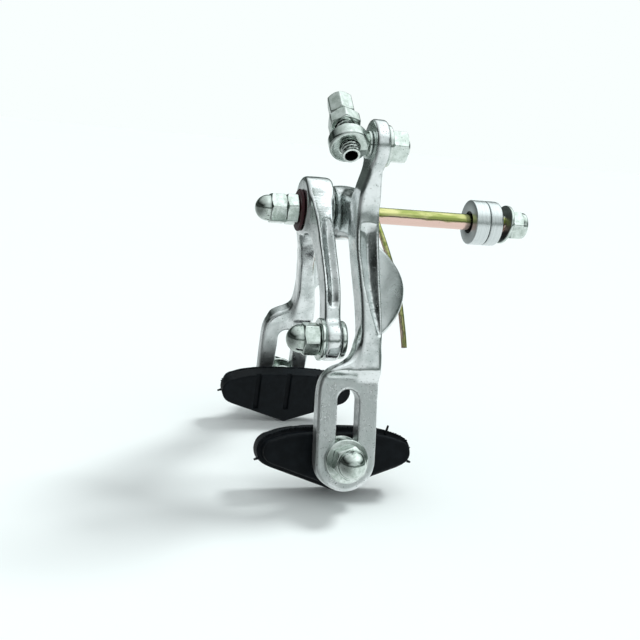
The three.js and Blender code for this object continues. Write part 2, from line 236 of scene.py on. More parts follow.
def mixOf(tree, mask, a, b):
    node = addNode(tree, "ShaderNodeMix", data_type="RGBA")
    for socket, value in ((node.inputs[0], mask), (node.inputs[6], a), (node.inputs[7], b)):
        if hasattr(value, "is_output"):
            tree.links.new(value, socket)
        else:
            socket.default_value = value if isinstance(value, float) else (*value, 1.0)
    return node.outputs[2]


def surfaceWearGroup():
    group, given, result = newGroup(
        "surfaceWear",
        [("Place", "Vector", None), ("Pit Size", "Float", 1.2), ("Pit Amount", "Float", 0.3),
         ("Scratch Amount", "Float", 0.4)],
        [("Cloud", "Float"), ("Pits", "Float"), ("Scratches", "Float"), ("Height", "Float")])
    place = vectorOf(group, "SCALE", given["Place"], 1000.0)
    cloud = noiseOf(group, place, 0.16, 4.0, 0.6)
    fine = noiseOf(group, place, 3.5, 2.0, 0.6)
    cells = addNode(group, "ShaderNodeTexVoronoi", {"Vector": place, "Scale": given["Pit Size"]})
    patch = noiseOf(group, place, 0.45, 2.0)
    limit = mathOf(group, "MULTIPLY", patch, given["Pit Amount"])
    pitEdge = mathOf(group, "SUBTRACT", limit, cells.outputs["Distance"])
    pits = rampOf(group, pitEdge, 0.0, 0.08)
    lean = vectorOf(group, "MULTIPLY", place, (5.0, 0.35, 1.1))
    streak = noiseOf(group, lean, 0.9, 3.0, 0.7)
    crossed = vectorOf(group, "MULTIPLY", place, (0.5, 4.0, 0.7))
    streakTwo = noiseOf(group, crossed, 0.8, 3.0, 0.7)
    both = mathOf(group, "MAXIMUM", streak, streakTwo)
    scratches = mathOf(group, "MULTIPLY", rampOf(group, both, 0.62, 0.78), given["Scratch Amount"])
    height = mathOf(group, "MULTIPLY", cloud, 0.5)
    height = mathOf(group, "MULTIPLY_ADD", fine, 0.12, height)
    height = mathOf(group, "MULTIPLY_ADD", pits, -0.7, height)
    height = mathOf(group, "MULTIPLY_ADD", scratches, -0.2, height)
    for label, value in (("Cloud", cloud), ("Pits", pits), ("Scratches", scratches), ("Height", height)):
        group.links.new(value, result[label])
    return group


def edgeWearAndCreaseShadeGroup():
    group, given, result = newGroup(
        "edgeWearAndCreaseShade", [("Place", "Vector", None), ("Low", "Float", 0.52), ("High", "Float", 0.6)],
        [("Edge", "Float"), ("CreaseShade", "Float")])
    point = group.nodes.new("ShaderNodeNewGeometry").outputs["Pointiness"]
    place = vectorOf(group, "SCALE", given["Place"], 1000.0)
    broken = rampOf(group, noiseOf(group, place, 0.8, 3.0), 0.3, 0.6)
    edge = spanOf(group, point, given["Low"], given["High"])
    group.links.new(mathOf(group, "MULTIPLY", edge, broken), result["Edge"])
    # Crease: painted shade, a mask of concave creases and hollows found by pointiness
    group.links.new(rampOf(group, point, 0.49, 0.43), result["CreaseShade"])
    return group


def dustGroup():
    group, given, result = newGroup("settledDust", [("Place", "Vector", None), ("Amount", "Float", 0.5)],
                                    [("Dust", "Float")])
    up = partsOf(group, group.nodes.new("ShaderNodeNewGeometry").outputs["Normal"])[2]
    place = vectorOf(group, "SCALE", given["Place"], 1000.0)
    specks = rampOf(group, noiseOf(group, place, 1.6, 5.0, 0.75), 0.48, 0.75)
    facing = rampOf(group, up, 0.1, 0.95)
    amount = mathOf(group, "MULTIPLY", mathOf(group, "MULTIPLY", specks, facing), given["Amount"])
    group.links.new(amount, result["Dust"])
    return group


surfaceWear = surfaceWearGroup()
edgeWearAndCreaseShade = edgeWearAndCreaseShadeGroup()
settledDust = dustGroup()


def groupNode(tree, group, links):
    return addNode(tree, "ShaderNodeGroup", links, node_tree=group).outputs


def startMaterial(name, settings):
    material = bpy.data.materials.new(name)
    material.use_nodes = True
    material.diffuse_color = (*settings["colour"], 1.0)
    tree = material.node_tree
    shader = tree.nodes["Principled BSDF"]
    shader.inputs["Metallic"].default_value = settings.get("metal", 0.0)
    shader.inputs["Specular IOR Level"].default_value = settings.get("specular", 0.5)
    place = tree.nodes.new("ShaderNodeTexCoord").outputs["Object"]
    return material, tree, shader, place, vectorOf(tree, "SCALE", place, 1000.0)


def setLooks(tree, shader, colour, rough, height, strength, distance):
    links = {"Height": height, "Strength": strength, "Distance": distance * mm}
    bump = addNode(tree, "ShaderNodeBump", links).outputs[0]
    for label, source in (("Base Color", colour), ("Roughness", rough), ("Normal", bump)):
        tree.links.new(source, shader.inputs[label])


castFinish = {"colour": (0.80, 0.83, 0.83), "shade": (0.62, 0.67, 0.66), "pit": (0.16, 0.19, 0.18),
              "edge": (0.93, 0.95, 0.95), "metal": 1.0, "rough": 0.13, "roughSpread": 0.17,
              "pitSize": 1.1, "pitAmount": 0.34, "scratch": 0.5, "bump": 0.35}


def castAluminium():
    material, tree, shader, place, here = startMaterial("castAluminium", castFinish)
    wear = groupNode(tree, surfaceWear, {"Place": place, "Pit Size": castFinish["pitSize"],
                                         "Pit Amount": castFinish["pitAmount"],
                                         "Scratch Amount": castFinish["scratch"]})
    edges = groupNode(tree, edgeWearAndCreaseShade, {"Place": place})
    satin = attributeOf(tree, "satin")
    cells = addNode(tree, "ShaderNodeTexVoronoi", {"Vector": here, "Scale": 1.9})
    grain = mathOf(tree, "MULTIPLY", rampOf(tree, cells.outputs["Distance"], 0.42, 0.12), satin)
    cloud = rampOf(tree, wear["Cloud"], 0.35, 0.68)
    colour = mixOf(tree, cloud, castFinish["colour"], castFinish["shade"])
    colour = mixOf(tree, mathOf(tree, "MULTIPLY", grain, 0.35), colour, castFinish["shade"])
    colour = mixOf(tree, wear["Pits"], colour, castFinish["pit"])
    # Painted shade: creases and hollows are darkened towards the pit colour
    colour = mixOf(tree, mathOf(tree, "MULTIPLY", edges["CreaseShade"], 0.55), colour, castFinish["pit"])
    colour = mixOf(tree, edges["Edge"], colour, castFinish["edge"])
    rough = mathOf(tree, "MULTIPLY_ADD", cloud, castFinish["roughSpread"], castFinish["rough"])
    for mark, amount in ((wear["Scratches"], 0.2), (satin, 0.14), (edges["Edge"], -0.08)):
        rough = mathOf(tree, "MULTIPLY_ADD", mark, amount, rough)
    height = mathOf(tree, "MULTIPLY_ADD", grain, -0.5, wear["Height"])
    setLooks(tree, shader, colour, rough, height, castFinish["bump"], 0.22)
    return material


turnedFinish = {"colour": (0.84, 0.88, 0.88), "shade": (0.50, 0.55, 0.55), "scratch": (0.25, 0.28, 0.28),
                "paintedShade": (0.014, 0.018, 0.018), "metal": 1.0, "rough": 0.22, "bump": 0.6}


def turnedAluminium():
    material, tree, shader, place, here = startMaterial("turnedAluminium", turnedFinish)
    lineAt = addNode(tree, "ShaderNodeCombineXYZ", {1: partsOf(tree, here)[1]}).outputs[0]
    lines = noiseOf(tree, lineAt, 5.5, 4.0, 0.7)
    marks = rampOf(tree, lines, 0.35, 0.7)
    radius = lengthOf(tree, vectorOf(tree, "MULTIPLY", here, (1.0, 0.0, 1.0)))
    rings = noiseOf(tree, addNode(tree, "ShaderNodeCombineXYZ", {0: radius}).outputs[0], 4.0, 3.0)
    wear = groupNode(tree, surfaceWear, {"Place": place, "Pit Amount": 0.16, "Scratch Amount": 0.6})
    colour = mixOf(tree, marks, turnedFinish["colour"], turnedFinish["shade"])
    colour = mixOf(tree, wear["Scratches"], colour, turnedFinish["scratch"])
    # Painted shade: marked bores go near black
    colour = mixOf(tree, attributeOf(tree, "paintedShade"), colour, turnedFinish["paintedShade"])
    rough = mathOf(tree, "MULTIPLY_ADD", marks, 0.18, turnedFinish["rough"])
    height = mathOf(tree, "ADD", lines, mathOf(tree, "MULTIPLY", rings, 0.7))
    height = mathOf(tree, "MULTIPLY_ADD", wear["Height"], 0.6, height)
    setLooks(tree, shader, colour, rough, height, turnedFinish["bump"], 0.05)
    return material


zincFinish = {"colour": (0.70, 0.77, 0.73), "shade": (0.47, 0.54, 0.49), "pit": (0.10, 0.12, 0.10),
              "edge": (0.90, 0.94, 0.92), "paintedShade": (0.012, 0.016, 0.016), "metal": 1.0, "rough": 0.1,
              "bump": 0.2}


def whiteZinc():
    material, tree, shader, place, here = startMaterial("whiteZinc", zincFinish)
    wear = groupNode(tree, surfaceWear, {"Place": place, "Pit Size": 1.0, "Pit Amount": 0.26,
                                         "Scratch Amount": 0.5})
    edges = groupNode(tree, edgeWearAndCreaseShade, {"Place": place, "Low": 0.51, "High": 0.56})
    cloud = rampOf(tree, noiseOf(tree, here, 0.42, 4.0, 0.6), 0.32, 0.7)
    paintedShade = attributeOf(tree, "paintedShade")
    colour = mixOf(tree, cloud, zincFinish["colour"], zincFinish["shade"])
    colour = mixOf(tree, wear["Pits"], colour, zincFinish["pit"])
    colour = mixOf(tree, mathOf(tree, "MULTIPLY", edges["Edge"], 0.8), colour, zincFinish["edge"])
    # Painted shade: marked thread roots and washer faces go near black
    colour = mixOf(tree, paintedShade, colour, zincFinish["paintedShade"])
    rough = mathOf(tree, "MULTIPLY_ADD", cloud, 0.12, zincFinish["rough"])
    for mark, amount in ((paintedShade, 0.5), (wear["Scratches"], 0.2)):
        rough = mathOf(tree, "MULTIPLY_ADD", mark, amount, rough)
    setLooks(tree, shader, colour, rough, wear["Height"], zincFinish["bump"], 0.12)
    return material


goldFinish = {"colour": (0.60, 0.59, 0.27), "green": (0.32, 0.37, 0.11), "paintedReflectionPink": (0.80, 0.57, 0.50),
              "dark": (0.10, 0.09, 0.03), "metal": 1.0, "rough": 0.12}


def yellowZinc():
    material, tree, shader, place, here = startMaterial("yellowZinc", goldFinish)
    # Painted reflection: faces turned downwards are tinted pink for the pale floor they reflect, with noise
    # moving the edge
    up = partsOf(tree, tree.nodes.new("ShaderNodeNewGeometry").outputs["Normal"])[2]
    drift = noiseOf(tree, vectorOf(tree, "MULTIPLY", here, (1.0, 0.22, 1.0)), 0.5, 3.0)
    lift = mathOf(tree, "MULTIPLY_ADD", drift, 0.9, mathOf(tree, "SUBTRACT", up, 0.55))
    paintedFloorReflection = rampOf(tree, lift, 0.12, -0.22)
    patches = noiseOf(tree, vectorOf(tree, "MULTIPLY", here, (1.3, 0.3, 1.3)), 0.35, 2.0)
    colour = mixOf(tree, rampOf(tree, patches, 0.38, 0.62), goldFinish["colour"], goldFinish["green"])
    colour = mixOf(tree, paintedFloorReflection, colour, goldFinish["paintedReflectionPink"])
    # Painted reflection: a darker line where the pink floor reflection and the yellow meet
    fromSeam = mathOf(tree, "ABSOLUTE", mathOf(tree, "MULTIPLY_ADD", paintedFloorReflection, 2.0, -1.0))
    paintedSeamLine = rampOf(tree, mathOf(tree, "SUBTRACT", 1.0, fromSeam), 0.2, 1.0)
    colour = mixOf(tree, mathOf(tree, "MULTIPLY", paintedSeamLine, 0.6), colour, goldFinish["dark"])
    wear = groupNode(tree, surfaceWear, {"Place": place, "Pit Amount": 0.22, "Scratch Amount": 0.6})
    colour = mixOf(tree, wear["Pits"], colour, goldFinish["dark"])
    rough = mathOf(tree, "MULTIPLY_ADD", drift, 0.16, goldFinish["rough"])
    setLooks(tree, shader, colour, rough, wear["Height"], 0.2, 0.1)
    return material


rubberFinish = {"colour": (0.0022, 0.0040, 0.0056), "shade": (0.0050, 0.0078, 0.0102),
                "dust": (0.10, 0.12, 0.14), "specular": 0.14, "rough": 0.52}


def blackRubber():
    material, tree, shader, place, here = startMaterial("blackRubber", rubberFinish)
    cloud = rampOf(tree, noiseOf(tree, here, 0.3, 4.0), 0.35, 0.7)
    grain = noiseOf(tree, here, 4.5, 4.0, 0.7)
    dust = groupNode(tree, settledDust, {"Place": place, "Amount": 0.12})["Dust"]
    colour = mixOf(tree, cloud, rubberFinish["colour"], rubberFinish["shade"])
    colour = mixOf(tree, dust, colour, rubberFinish["dust"])
    rough = mathOf(tree, "MULTIPLY_ADD", grain, 0.3, rubberFinish["rough"] - 0.1)
    rough = mathOf(tree, "MULTIPLY_ADD", dust, 0.3, rough)
    setLooks(tree, shader, colour, rough, mathOf(tree, "MULTIPLY_ADD", cloud, 0.5, grain), 0.35, 0.15)
    return material


# Maroon fibre colour, darkened further as painted shade standing in for the washer's dished, shadowed face
fibreFinish = {"colour": (0.030, 0.006, 0.009), "light": (0.10, 0.028, 0.034), "specular": 0.3, "rough": 0.5}


def maroonFibreAndPaintedShade():
    material, tree, shader, _, here = startMaterial("maroonFibreAndPaintedShade", fibreFinish)
    strands = noiseOf(tree, vectorOf(tree, "MULTIPLY", here, (1.0, 5.0, 1.0)), 1.4, 5.0, 0.7)
    colour = mixOf(tree, rampOf(tree, strands, 0.45, 0.75), fibreFinish["colour"], fibreFinish["light"])
    rough = mathOf(tree, "MULTIPLY_ADD", strands, 0.3, fibreFinish["rough"] - 0.15)
    setLooks(tree, shader, colour, rough, strands, 0.5, 0.12)
    return material


nylonFinish = {"colour": (0.72, 0.76, 0.78), "shade": (0.52, 0.57, 0.60), "rough": 0.35}


def nylonRing():
    material, tree, shader, _, here = startMaterial("nylonRing", nylonFinish)
    film = noiseOf(tree, here, 1.2, 4.0)
    colour = mixOf(tree, rampOf(tree, film, 0.3, 0.7), nylonFinish["colour"], nylonFinish["shade"])
    rough = mathOf(tree, "MULTIPLY_ADD", film, 0.25, nylonFinish["rough"])
    setLooks(tree, shader, colour, rough, film, 0.25, 0.08)
    return material


finishes = {"polished_aluminium": castAluminium(), "turned_aluminium": turnedAluminium(),
            "white_zinc": whiteZinc(), "yellow_zinc": yellowZinc(), "maroon_fibre": maroonFibreAndPaintedShade(),
            "black_rubber": blackRubber(), "nylon": nylonRing()}
print("caliper: finishes made")


# Fields: a piece is the region where its field, in mm, is below zero
def smoothMin(a, b, k):
    h = np.clip(0.5 + 0.5 * (b - a) / k, 0, 1)
    return b * (1 - h) + a * h - k * h * (1 - h)


def smoothMax(a, b, k):
    return -smoothMin(-a, -b, k)


def gridOver(low, high, voxel):
    axes = [np.arange(a, b, voxel, dtype=np.float32) for a, b in zip(low, high)]
    return axes[0][:, None, None], axes[1][None, :, None], axes[2][None, None, :]


def boxSection(across, deep, halfAcross, halfDeep, corner):
    qa = np.abs(across) - halfAcross + corner
    qd = np.abs(deep) - halfDeep + corner
    outside = np.hypot(np.maximum(qa, 0), np.maximum(qd, 0))
    return outside + np.minimum(np.maximum(qa, qd), 0) - corner


def barField(radial, radius, axial, start, end, corner):
    return boxSection(radial, axial - (start + end) / 2, radius, (end - start) / 2, corner)


def outlineField(points, a, b):
    best = np.full(np.broadcast(a, b).shape, 1e9, dtype=np.float32)
    inside = np.zeros(best.shape, dtype=bool)
    for (ax, ay), (bx, by) in zip(points, points[1:] + points[:1]):
        ex, ey = bx - ax, by - ay
        t = np.clip(((a - ax) * ex + (b - ay) * ey) / max(ex * ex + ey * ey, 1e-9), 0, 1)
        best = np.minimum(best, (a - ax - t * ex) ** 2 + (b - ay - t * ey) ** 2)
        if ay != by:
            crosses = ((ay > b) != (by > b)) & (a < ex * (b - ay) / (by - ay) + ax)
            inside ^= crosses
    distance = np.sqrt(best)
    return np.where(inside, -distance, distance)


def splineThrough(stations, steps):
    rows = np.array(stations, dtype=float)
    padded = np.vstack([2 * rows[0] - rows[1], rows, 2 * rows[-1] - rows[-2]])
    out = []
    for i in range(len(rows) - 1):
        p0, p1, p2, p3 = padded[i:i + 4]
        for t in np.arange(steps) / steps:
            out.append(0.5 * (2 * p1 + (p2 - p0) * t + (2 * p0 - 5 * p1 + 4 * p2 - p3) * t * t
                              + (3 * p1 - p0 - 3 * p2 + p3) * t ** 3))
    out.append(rows[-1])
    return np.array(out)


def limbField(limb, x, y, z):
    steps = 8
    spine = splineThrough(limb["stations"], steps)
    px, pz = x[:, 0, :], z[0, 0, :][None, :]
    best = np.full((px.shape[0], pz.shape[1]), 1e9)
    along = np.zeros_like(best)
    side = np.ones_like(best)
    for i in range(len(spine) - 1):
        ax, az = spine[i, :2]
        ex, ez = spine[i + 1, :2] - spine[i, :2]
        t = np.clip(((px - ax) * ex + (pz - az) * ez) / (ex * ex + ez * ez), 0, 1)
        dx, dz = px - ax - t * ex, pz - az - t * ez
        distance = np.hypot(dx, dz)
        closer = distance < best
        best = np.where(closer, distance, best)
        along = np.where(closer, (i + t) / steps, along)
        side = np.where(closer, np.sign(ex * dz - ez * dx), side)
    at = np.arange(len(spine)) / steps
    half, front, rear = (np.interp(along, at, spine[:, k])[:, None, :].astype(np.float32) for k in (2, 3, 4))
    across = (side * best)[:, None, :].astype(np.float32)
    body = boxSection(across, y - (front + rear) / 2, half, (rear - front) / 2, limb["corner"])
    if "channel" in limb:
        body = cutChannel(limb["channel"], body, across, along[:, None, :], half, y)
    return body


def cutChannel(rows, body, across, along, half, y):
    at, centre, width, depth = np.array(rows, dtype=float).T
    centre, width, depth = (np.interp(along, at, v).astype(np.float32) for v in (centre, width, depth))
    shape = 1 - np.abs(y - centre) / width
    inside = np.clip(shape, 0, 1)
    clear = np.clip(-shape, 0, 2) * 1.2 + np.clip(1 - depth / 0.5, 0, 1) * 0.9
    floor = half - depth * (inside * 1.15 - 0.15 * inside ** 2) + clear
    return smoothMax(body, (across - floor) * 0.8, 0.22)


def plateAxes(side, x, y, z):
    tilt = math.radians(plate["tilt"])
    c, s = math.cos(tilt), math.sin(tilt)
    out = (x - side * plate["reach"]) * side
    up = z - plate["height"]
    return y - plate["middle"], out * c + up * s, out * s - up * c


def plateMatrix(side):
    tilt = math.radians(plate["tilt"])
    c, s = math.cos(tilt), math.sin(tilt)
    columns = Matrix(((0, side, 0), (side * c, 0, s), (side * s, 0, -c))).transposed().to_4x4()
    place = Vector((side * plate["reach"], plate["middle"], plate["height"])) * mm
    return Matrix.Translation(place) @ columns


plate = {"tilt": 11, "reach": 53.7, "height": -75, "middle": -17.5, "half": 10.1, "thick": 6.0,
         "slotHalf": 3.5, "slotTop": -19.5, "slotEdge": 0.5, "edge": 1.1, "blend": 2.4,
         "overlap": -26.9, "proud": 1.7, "ramp": 2.4, "fade": -30, "fadeLength": 12, "sink": 4.0}


def bezier(a, b, c, d, count=10):
    out = []
    for i in range(count):
        t = i / count
        w = ((1 - t) ** 3, 3 * t * (1 - t) ** 2, 3 * t * t * (1 - t), t ** 3)
        out.append(tuple(sum(k * p[n] for k, p in zip(w, (a, b, c, d))) for n in (0, 1)))
    return out


def softStep(t):
    t = np.clip(t, 0, 1)
    return t * t * (3 - 2 * t)


def plateOutline():
    h = plate["half"]
    points = [(h * math.cos(i * math.pi / 20), h * math.sin(i * math.pi / 20)) for i in range(21)]
    points += bezier((-h, -20), (-h, -26), (-8.0, -29.5), (-3.5, -31))
    points += bezier((-3.5, -31), (-0.6, -32), (1.6, -34), (2.4, -38), 6)
    return points + [(2.4, -38), (4.2, -42), (h - 1.6, -42), (h, -34)]


def slotField(along, down):
    return np.hypot(along, down - np.clip(down, plate["slotTop"], 0)) - plate["slotHalf"]


# Above its overlap the plate stands proud of the pad's seat, then sinks into the limb
def plateField(side, x, y, z):
    along, out, down = plateAxes(side, x, y, z)
    flat = outlineField(plateOutline(), along, down)
    proud = plate["proud"] * softStep((plate["overlap"] - down) / plate["ramp"])
    proud = proud - plate["sink"] * softStep((plate["fade"] - down) / plate["fadeLength"])
    half = (plate["thick"] + proud) / 2
    slab = boxSection(np.maximum(flat + 6, 0), out + plate["thick"] - half, 6, half, plate["edge"])
    return smoothMax(slab, -slotField(along, down), plate["slotEdge"])


def earField(ear, x, y, z):
    lean = math.radians(ear["lean"])
    c, s = math.cos(lean), math.sin(lean)
    middle = (ear["top"] + ear["bottom"]) / 2
    dx, dz = x - ear["x"], z - middle
    flatX, rise = c * dx - s * dz, s * dx + c * dz
    f, r, t, b = ear["front"], ear["rear"], ear["top"] - middle, ear["bottom"] - middle
    reach = r - f
    points = bezier((f, t + 4), (r - 0.65 * reach, t), (r, t - 6), (r, 0), 12)
    points += bezier((r, 0), (r, b + 6), (r - 0.4 * reach, b), (f, b - 6), 12)
    points += [(f, b - 6), (f - 2, 0)]
    flat = outlineField(points, y, rise)
    bow = 0.012 * (y - f) * (y - f)
    half = 1.75 - 0.035 * np.clip(y - f, 0, 30)
    return boxSection(flat + 20, flatX * ear["face"] + bow, 20, half, 0.9)


def partOf(low, high, x, y, z):
    picks = []
    for axis, (a, b) in zip((x[:, 0, 0], y[0, :, 0], z[0, 0, :]), zip(low, high)):
        inside = np.nonzero((axis >= a) & (axis <= b))[0]
        picks.append(slice(inside[0], inside[-1] + 1))
    return tuple(picks)


def blendInside(field, piece, low, high, x, y, z, k):
    pick = partOf(low, high, x, y, z)
    small = piece(x[pick[0]], y[:, pick[1]], z[:, :, pick[2]])
    field[pick] = smoothMin(field[pick], small, k)


def meshFromField(name, field, low, voxel, matrix=Matrix.Identity(4)):
    grid = openvdb.FloatGrid(3.0)
    grid.copyFromArray(np.clip(field, -3, 3).astype(np.float32))
    grid.transform = openvdb.createLinearTransform(voxelSize=voxel)
    points, triangles, quads = grid.convertToPolygons(isovalue=0.0, adaptivity=0.0)
    points = (points + np.array(low)) * mm
    mesh = bpy.data.meshes.new(name)
    mesh.from_pydata(points.tolist(), [], quads.tolist() + triangles.tolist())
    work = bmesh.new()
    work.from_mesh(mesh)
    bmesh.ops.smooth_vert(work, verts=work.verts, factor=0.5,
                          use_axis_x=True, use_axis_y=True, use_axis_z=True)
    bmesh.ops.recalc_face_normals(work, faces=work.faces)
    work.to_mesh(mesh)
    work.free()
    mesh.transform(matrix)
    finishShading(mesh, None)
    return linked(bpy.data.objects.new(name, mesh))


def handWaves(x, y, z, amount):
    one = np.sin(x * 0.71 + 1.3) * np.sin(z * 0.53 + 0.4) * np.sin(y * 0.9)
    two = np.sin(x * 0.33 + z * 0.41) * np.cos(y * 0.62 + 0.8)
    return amount * (one + two).astype(np.float32)


# The plates' faces are left as cast, the limbs are polished
def markSatin(obj, side):
    x, y, z = vertexPlaces(obj)
    down = plateAxes(side, x, y, z)[2]
    return markPoints(obj, "satin", np.clip((down - plate["overlap"]) / 1.5, 0, 1) * (x * side > 30))


# Cable-side arm: bridge from the pivot, an upright with the adjuster boss on top and the pad plate below
cableArm = {
    "name": "cableSideArm", "side": 1, "low": (-11.5, -30.5, -90), "high": (66, 10, 36),
    "limbs": [{"corner": 3.0,
               "stations": [(0, 0, 9.2, -15.6, -7.7), (8, 0.3, 8.4, -15.0, -8.2),
                            (15, 0.2, 8.2, -14.2, -8.8), (20.5, 0, 9.2, -13.7, -9.2)]},
              {"corner": 1.3,
               "stations": [(29, 23.5, 5.2, -12.2, -7.9), (28.8, 17, 4.9, -13.4, -8.3),
                            (28.4, 10, 4.9, -15.0, -8.0), (27.6, 2, 5.1, -15.2, -7.6),
                            (30, -9, 4.9, -15.2, -7.2), (34, -19, 4.7, -14.4, -7.0),
                            (38.6, -28.5, 4.6, -13.9, -6.9), (42.6, -37, 4.4, -14.2, -7.0),
                            (45.2, -46, 3.6, -15.4, -7.5)],
               "channel": [(3.25, -11.3, 2.9, 0.0), (3.5, -11.3, 3.3, 2.0), (4.3, -10.9, 3.2, 2.4),
                           (5.3, -10.2, 2.6, 2.2), (6.1, -9.2, 1.8, 1.7), (6.8, -8.3, 1.0, 0.9),
                           (7.1, -7.9, 0.7, 0.0)]}],
    "limbBlend": 4.5, "hub": (0, 0, 9.5, -16, -7.2), "hubEdge": 0.9, "hubBlend": 1.6,
    "boss": (29, 25.5, 8.4, -12.6, -7.9), "bossEdge": 1.0, "bossBlend": 0.9, "bossBore": 3.25,
    "ear": {"x": 30.8, "lean": -22, "front": -9, "rear": 4.6, "top": -7.8, "bottom": -35.5, "face": 1},
    "earBox": ((22, -30.5, -60), (46, 10, -4)), "earBlend": 1.6,
    "plateBox": ((34, -30.5, -90), (66, -4, -33))}

# Curved arm: the long leg to the far plate and the near leg that ends in the cable anchor's boss
curvedArm = {
    "name": "curvedArm", "side": -1, "low": (-66, -31, -90), "high": (45, 0, 14),
    "limbs": [{"corner": 1.4,
               "stations": [(-2, 1, 9, -26.4, -17.4), (-10, -4.5, 6.6, -26, -16.6),
                            (-19, -11, 5.5, -22.8, -15), (-27.5, -19, 4.9, -19.8, -13.2),
                            (-34.5, -27.5, 4.6, -17.6, -11), (-40.6, -36.5, 4.4, -16.2, -8.8),
                            (-44.7, -46, 3.5, -16.2, -7.6)]},
              {"corner": 0.9,
               "stations": [(1, 1.8, 9.4, -26.4, -17.4), (8.5, -1, 6.8, -26, -18.6),
                            (15, -5.5, 5, -25.2, -19.1), (20.5, -11.5, 4.3, -24.8, -19.1),
                            (26, -17.6, 4.1, -24.6, -19.1), (31, -24, 4, -24.6, -19.1),
                            (33.4, -30.5, 3.9, -24.6, -19.1), (36, -38, 4.4, -24.6, -19.1)],
               "channel": [(1.7, -21.9, 1.0, 0.0), (2.1, -21.9, 2.1, 0.9), (2.8, -21.9, 2.3, 1.4),
                           (4.8, -21.8, 2.3, 1.4), (5.5, -21.8, 2.2, 1.2), (5.95, -21.8, 0.8, 0.0)]}],
    "limbBlend": 1.6, "hub": (0, 1.6, 10.6, -27, -17), "hubEdge": 1.6, "hubBlend": 1.2,
    "boss": (36, -39, 7.0, -24.6, -19.1), "bossEdge": 1.3, "bossBlend": 1.2, "bossBore": 3.2,
    "ear": {"x": -31.5, "lean": 37, "front": -12.2, "rear": -3.4, "top": -17, "bottom": -33, "face": -1},
    "earBox": ((-46, -24, -50), (-20, 0, -6)), "earBlend": 1.4,
    "plateBox": ((-66, -31, -90), (-34, -4, -33))}

casting = {"voxel": 0.38, "waves": 0.035, "pivotBore": 3.25, "boreEdge": 0.3, "flatReach": 15,
           "flatEdge": 0.4}


def buildArm(arm):
    x, y, z = gridOver(arm["low"], arm["high"], casting["voxel"])
    first, second = (limbField(limb, x, y, z) for limb in arm["limbs"])
    body = smoothMin(first, second, arm["limbBlend"])
    cx, cz, radius, start, end = arm["hub"]
    fromHub = np.hypot(x - cx, z - cz)
    body = smoothMin(body, barField(fromHub, radius, y, start, end, arm["hubEdge"]), arm["hubBlend"])
    slab = np.abs(y - (start + end) / 2) - (end - start) / 2 - np.maximum(fromHub - casting["flatReach"], 0)
    body = smoothMax(body, slab, casting["flatEdge"])
    cx, cz, radius, start, end = arm["boss"]
    fromBoss = np.hypot(x - cx, z - cz)
    body = smoothMin(body, barField(fromBoss, radius, y, start, end, arm["bossEdge"]), arm["bossBlend"])
    blendInside(body, lambda *at: earField(arm["ear"], *at), *arm["earBox"], x, y, z, arm["earBlend"])
    blendInside(body, lambda *at: plateField(arm["side"], *at), *arm["plateBox"], x, y, z, plate["blend"])
    along, _, down = plateAxes(arm["side"], x, y, z)
    cut = smoothMax(body, -slotField(along, down), plate["slotEdge"])
    body = np.where(down > plate["fade"], cut, body)
    body += handWaves(x, y, z, casting["waves"])
    body = smoothMax(body, casting["pivotBore"] - np.hypot(x, z), casting["boreEdge"])
    body = smoothMax(body, arm["bossBore"] - fromBoss, casting["boreEdge"])
    return markSatin(meshFromField(arm["name"], body, arm["low"], casting["voxel"]), arm["side"])


# Brake pads: a flange with a stepped back, three grooves in the braking face
pad = {"voxel": 0.32, "low": (-29, -21.5, -11.5), "high": (29, -6, 14), "half": 26.8, "end": 5.6, "top": 9.4,
       "bottom": 12.0, "back": -8.6, "face": -20.0, "step": -13.2, "stepIn": 1.5, "neck": 7.0, "groove": 12.5,
       "grooveHalf": 0.9, "grooveDepth": 1.2, "grooveEnd": 6.2, "lift": -1.4, "flashSeed": 7,
       "sprues": [(17.6, -7.4, -0.3, 3.2), (-26.3, 1.2, 1.9, 1.6), (25.9, 2.0, -1.9, 1.2)]}


def padOutline():
    half, end, lift = pad["half"], pad["end"], pad["lift"]
    left = -half + end
    points = [(0, pad["bottom"]), (left - 1, lift + end)]
    for i in range(1, 12):
        angle = math.pi * (0.62 + 0.83 * i / 11)
        points.append((left + end * math.cos(angle), lift + end * math.sin(angle)))
    points += bezier(points[-1], (-half * 0.6, -pad["top"]), (-half * 0.3, -pad["top"]), (0, -pad["top"]))
    points += [(-a, d) for a, d in reversed(points[1:])]
    return points[:-1] if points[-1] == points[0] else points


def buildPadBlock(name, side):
    a, n, d = gridOver(pad["low"], pad["high"], pad["voxel"])
    outline = padOutline()
    flat = outlineField(outline, a, d)

    def layer(shrink, start, end, edge):
        qa, qd = flat + shrink + edge, np.abs(n - (start + end) / 2) - (end - start) / 2 + edge
        return np.hypot(np.maximum(qa, 0), np.maximum(qd, 0)) + np.minimum(np.maximum(qa, qd), 0) - edge

    block = layer(0.0, pad["face"], pad["step"], 0.45)
    block = smoothMin(block, layer(pad["stepIn"], pad["step"] - 2, pad["back"], 0.7), 0.5)
    neck = barField(np.hypot(a, d), pad["neck"], n, pad["back"] - 2, pad["back"] + 0.8, 0.4)
    block = smoothMin(block, neck, 0.8)
    for at in (-1, 0, 1):
        across, deep = a - at * pad["groove"], n - pad["face"]
        cutter = boxSection(across, deep, pad["grooveHalf"], pad["grooveDepth"], 0.3)
        cutter = np.maximum(cutter, d - pad["grooveEnd"])
        block = smoothMax(block, -cutter, 0.25)
    block = smoothMax(block, np.minimum(3.1 - np.hypot(a, d), n + 16), 0.2)
    block += 0.03 * np.sin(a * 0.8 + side) * np.sin(n * 0.9) * np.sin(d * 0.7)
    return meshFromField(name, block, pad["low"], pad["voxel"], plateMatrix(side))


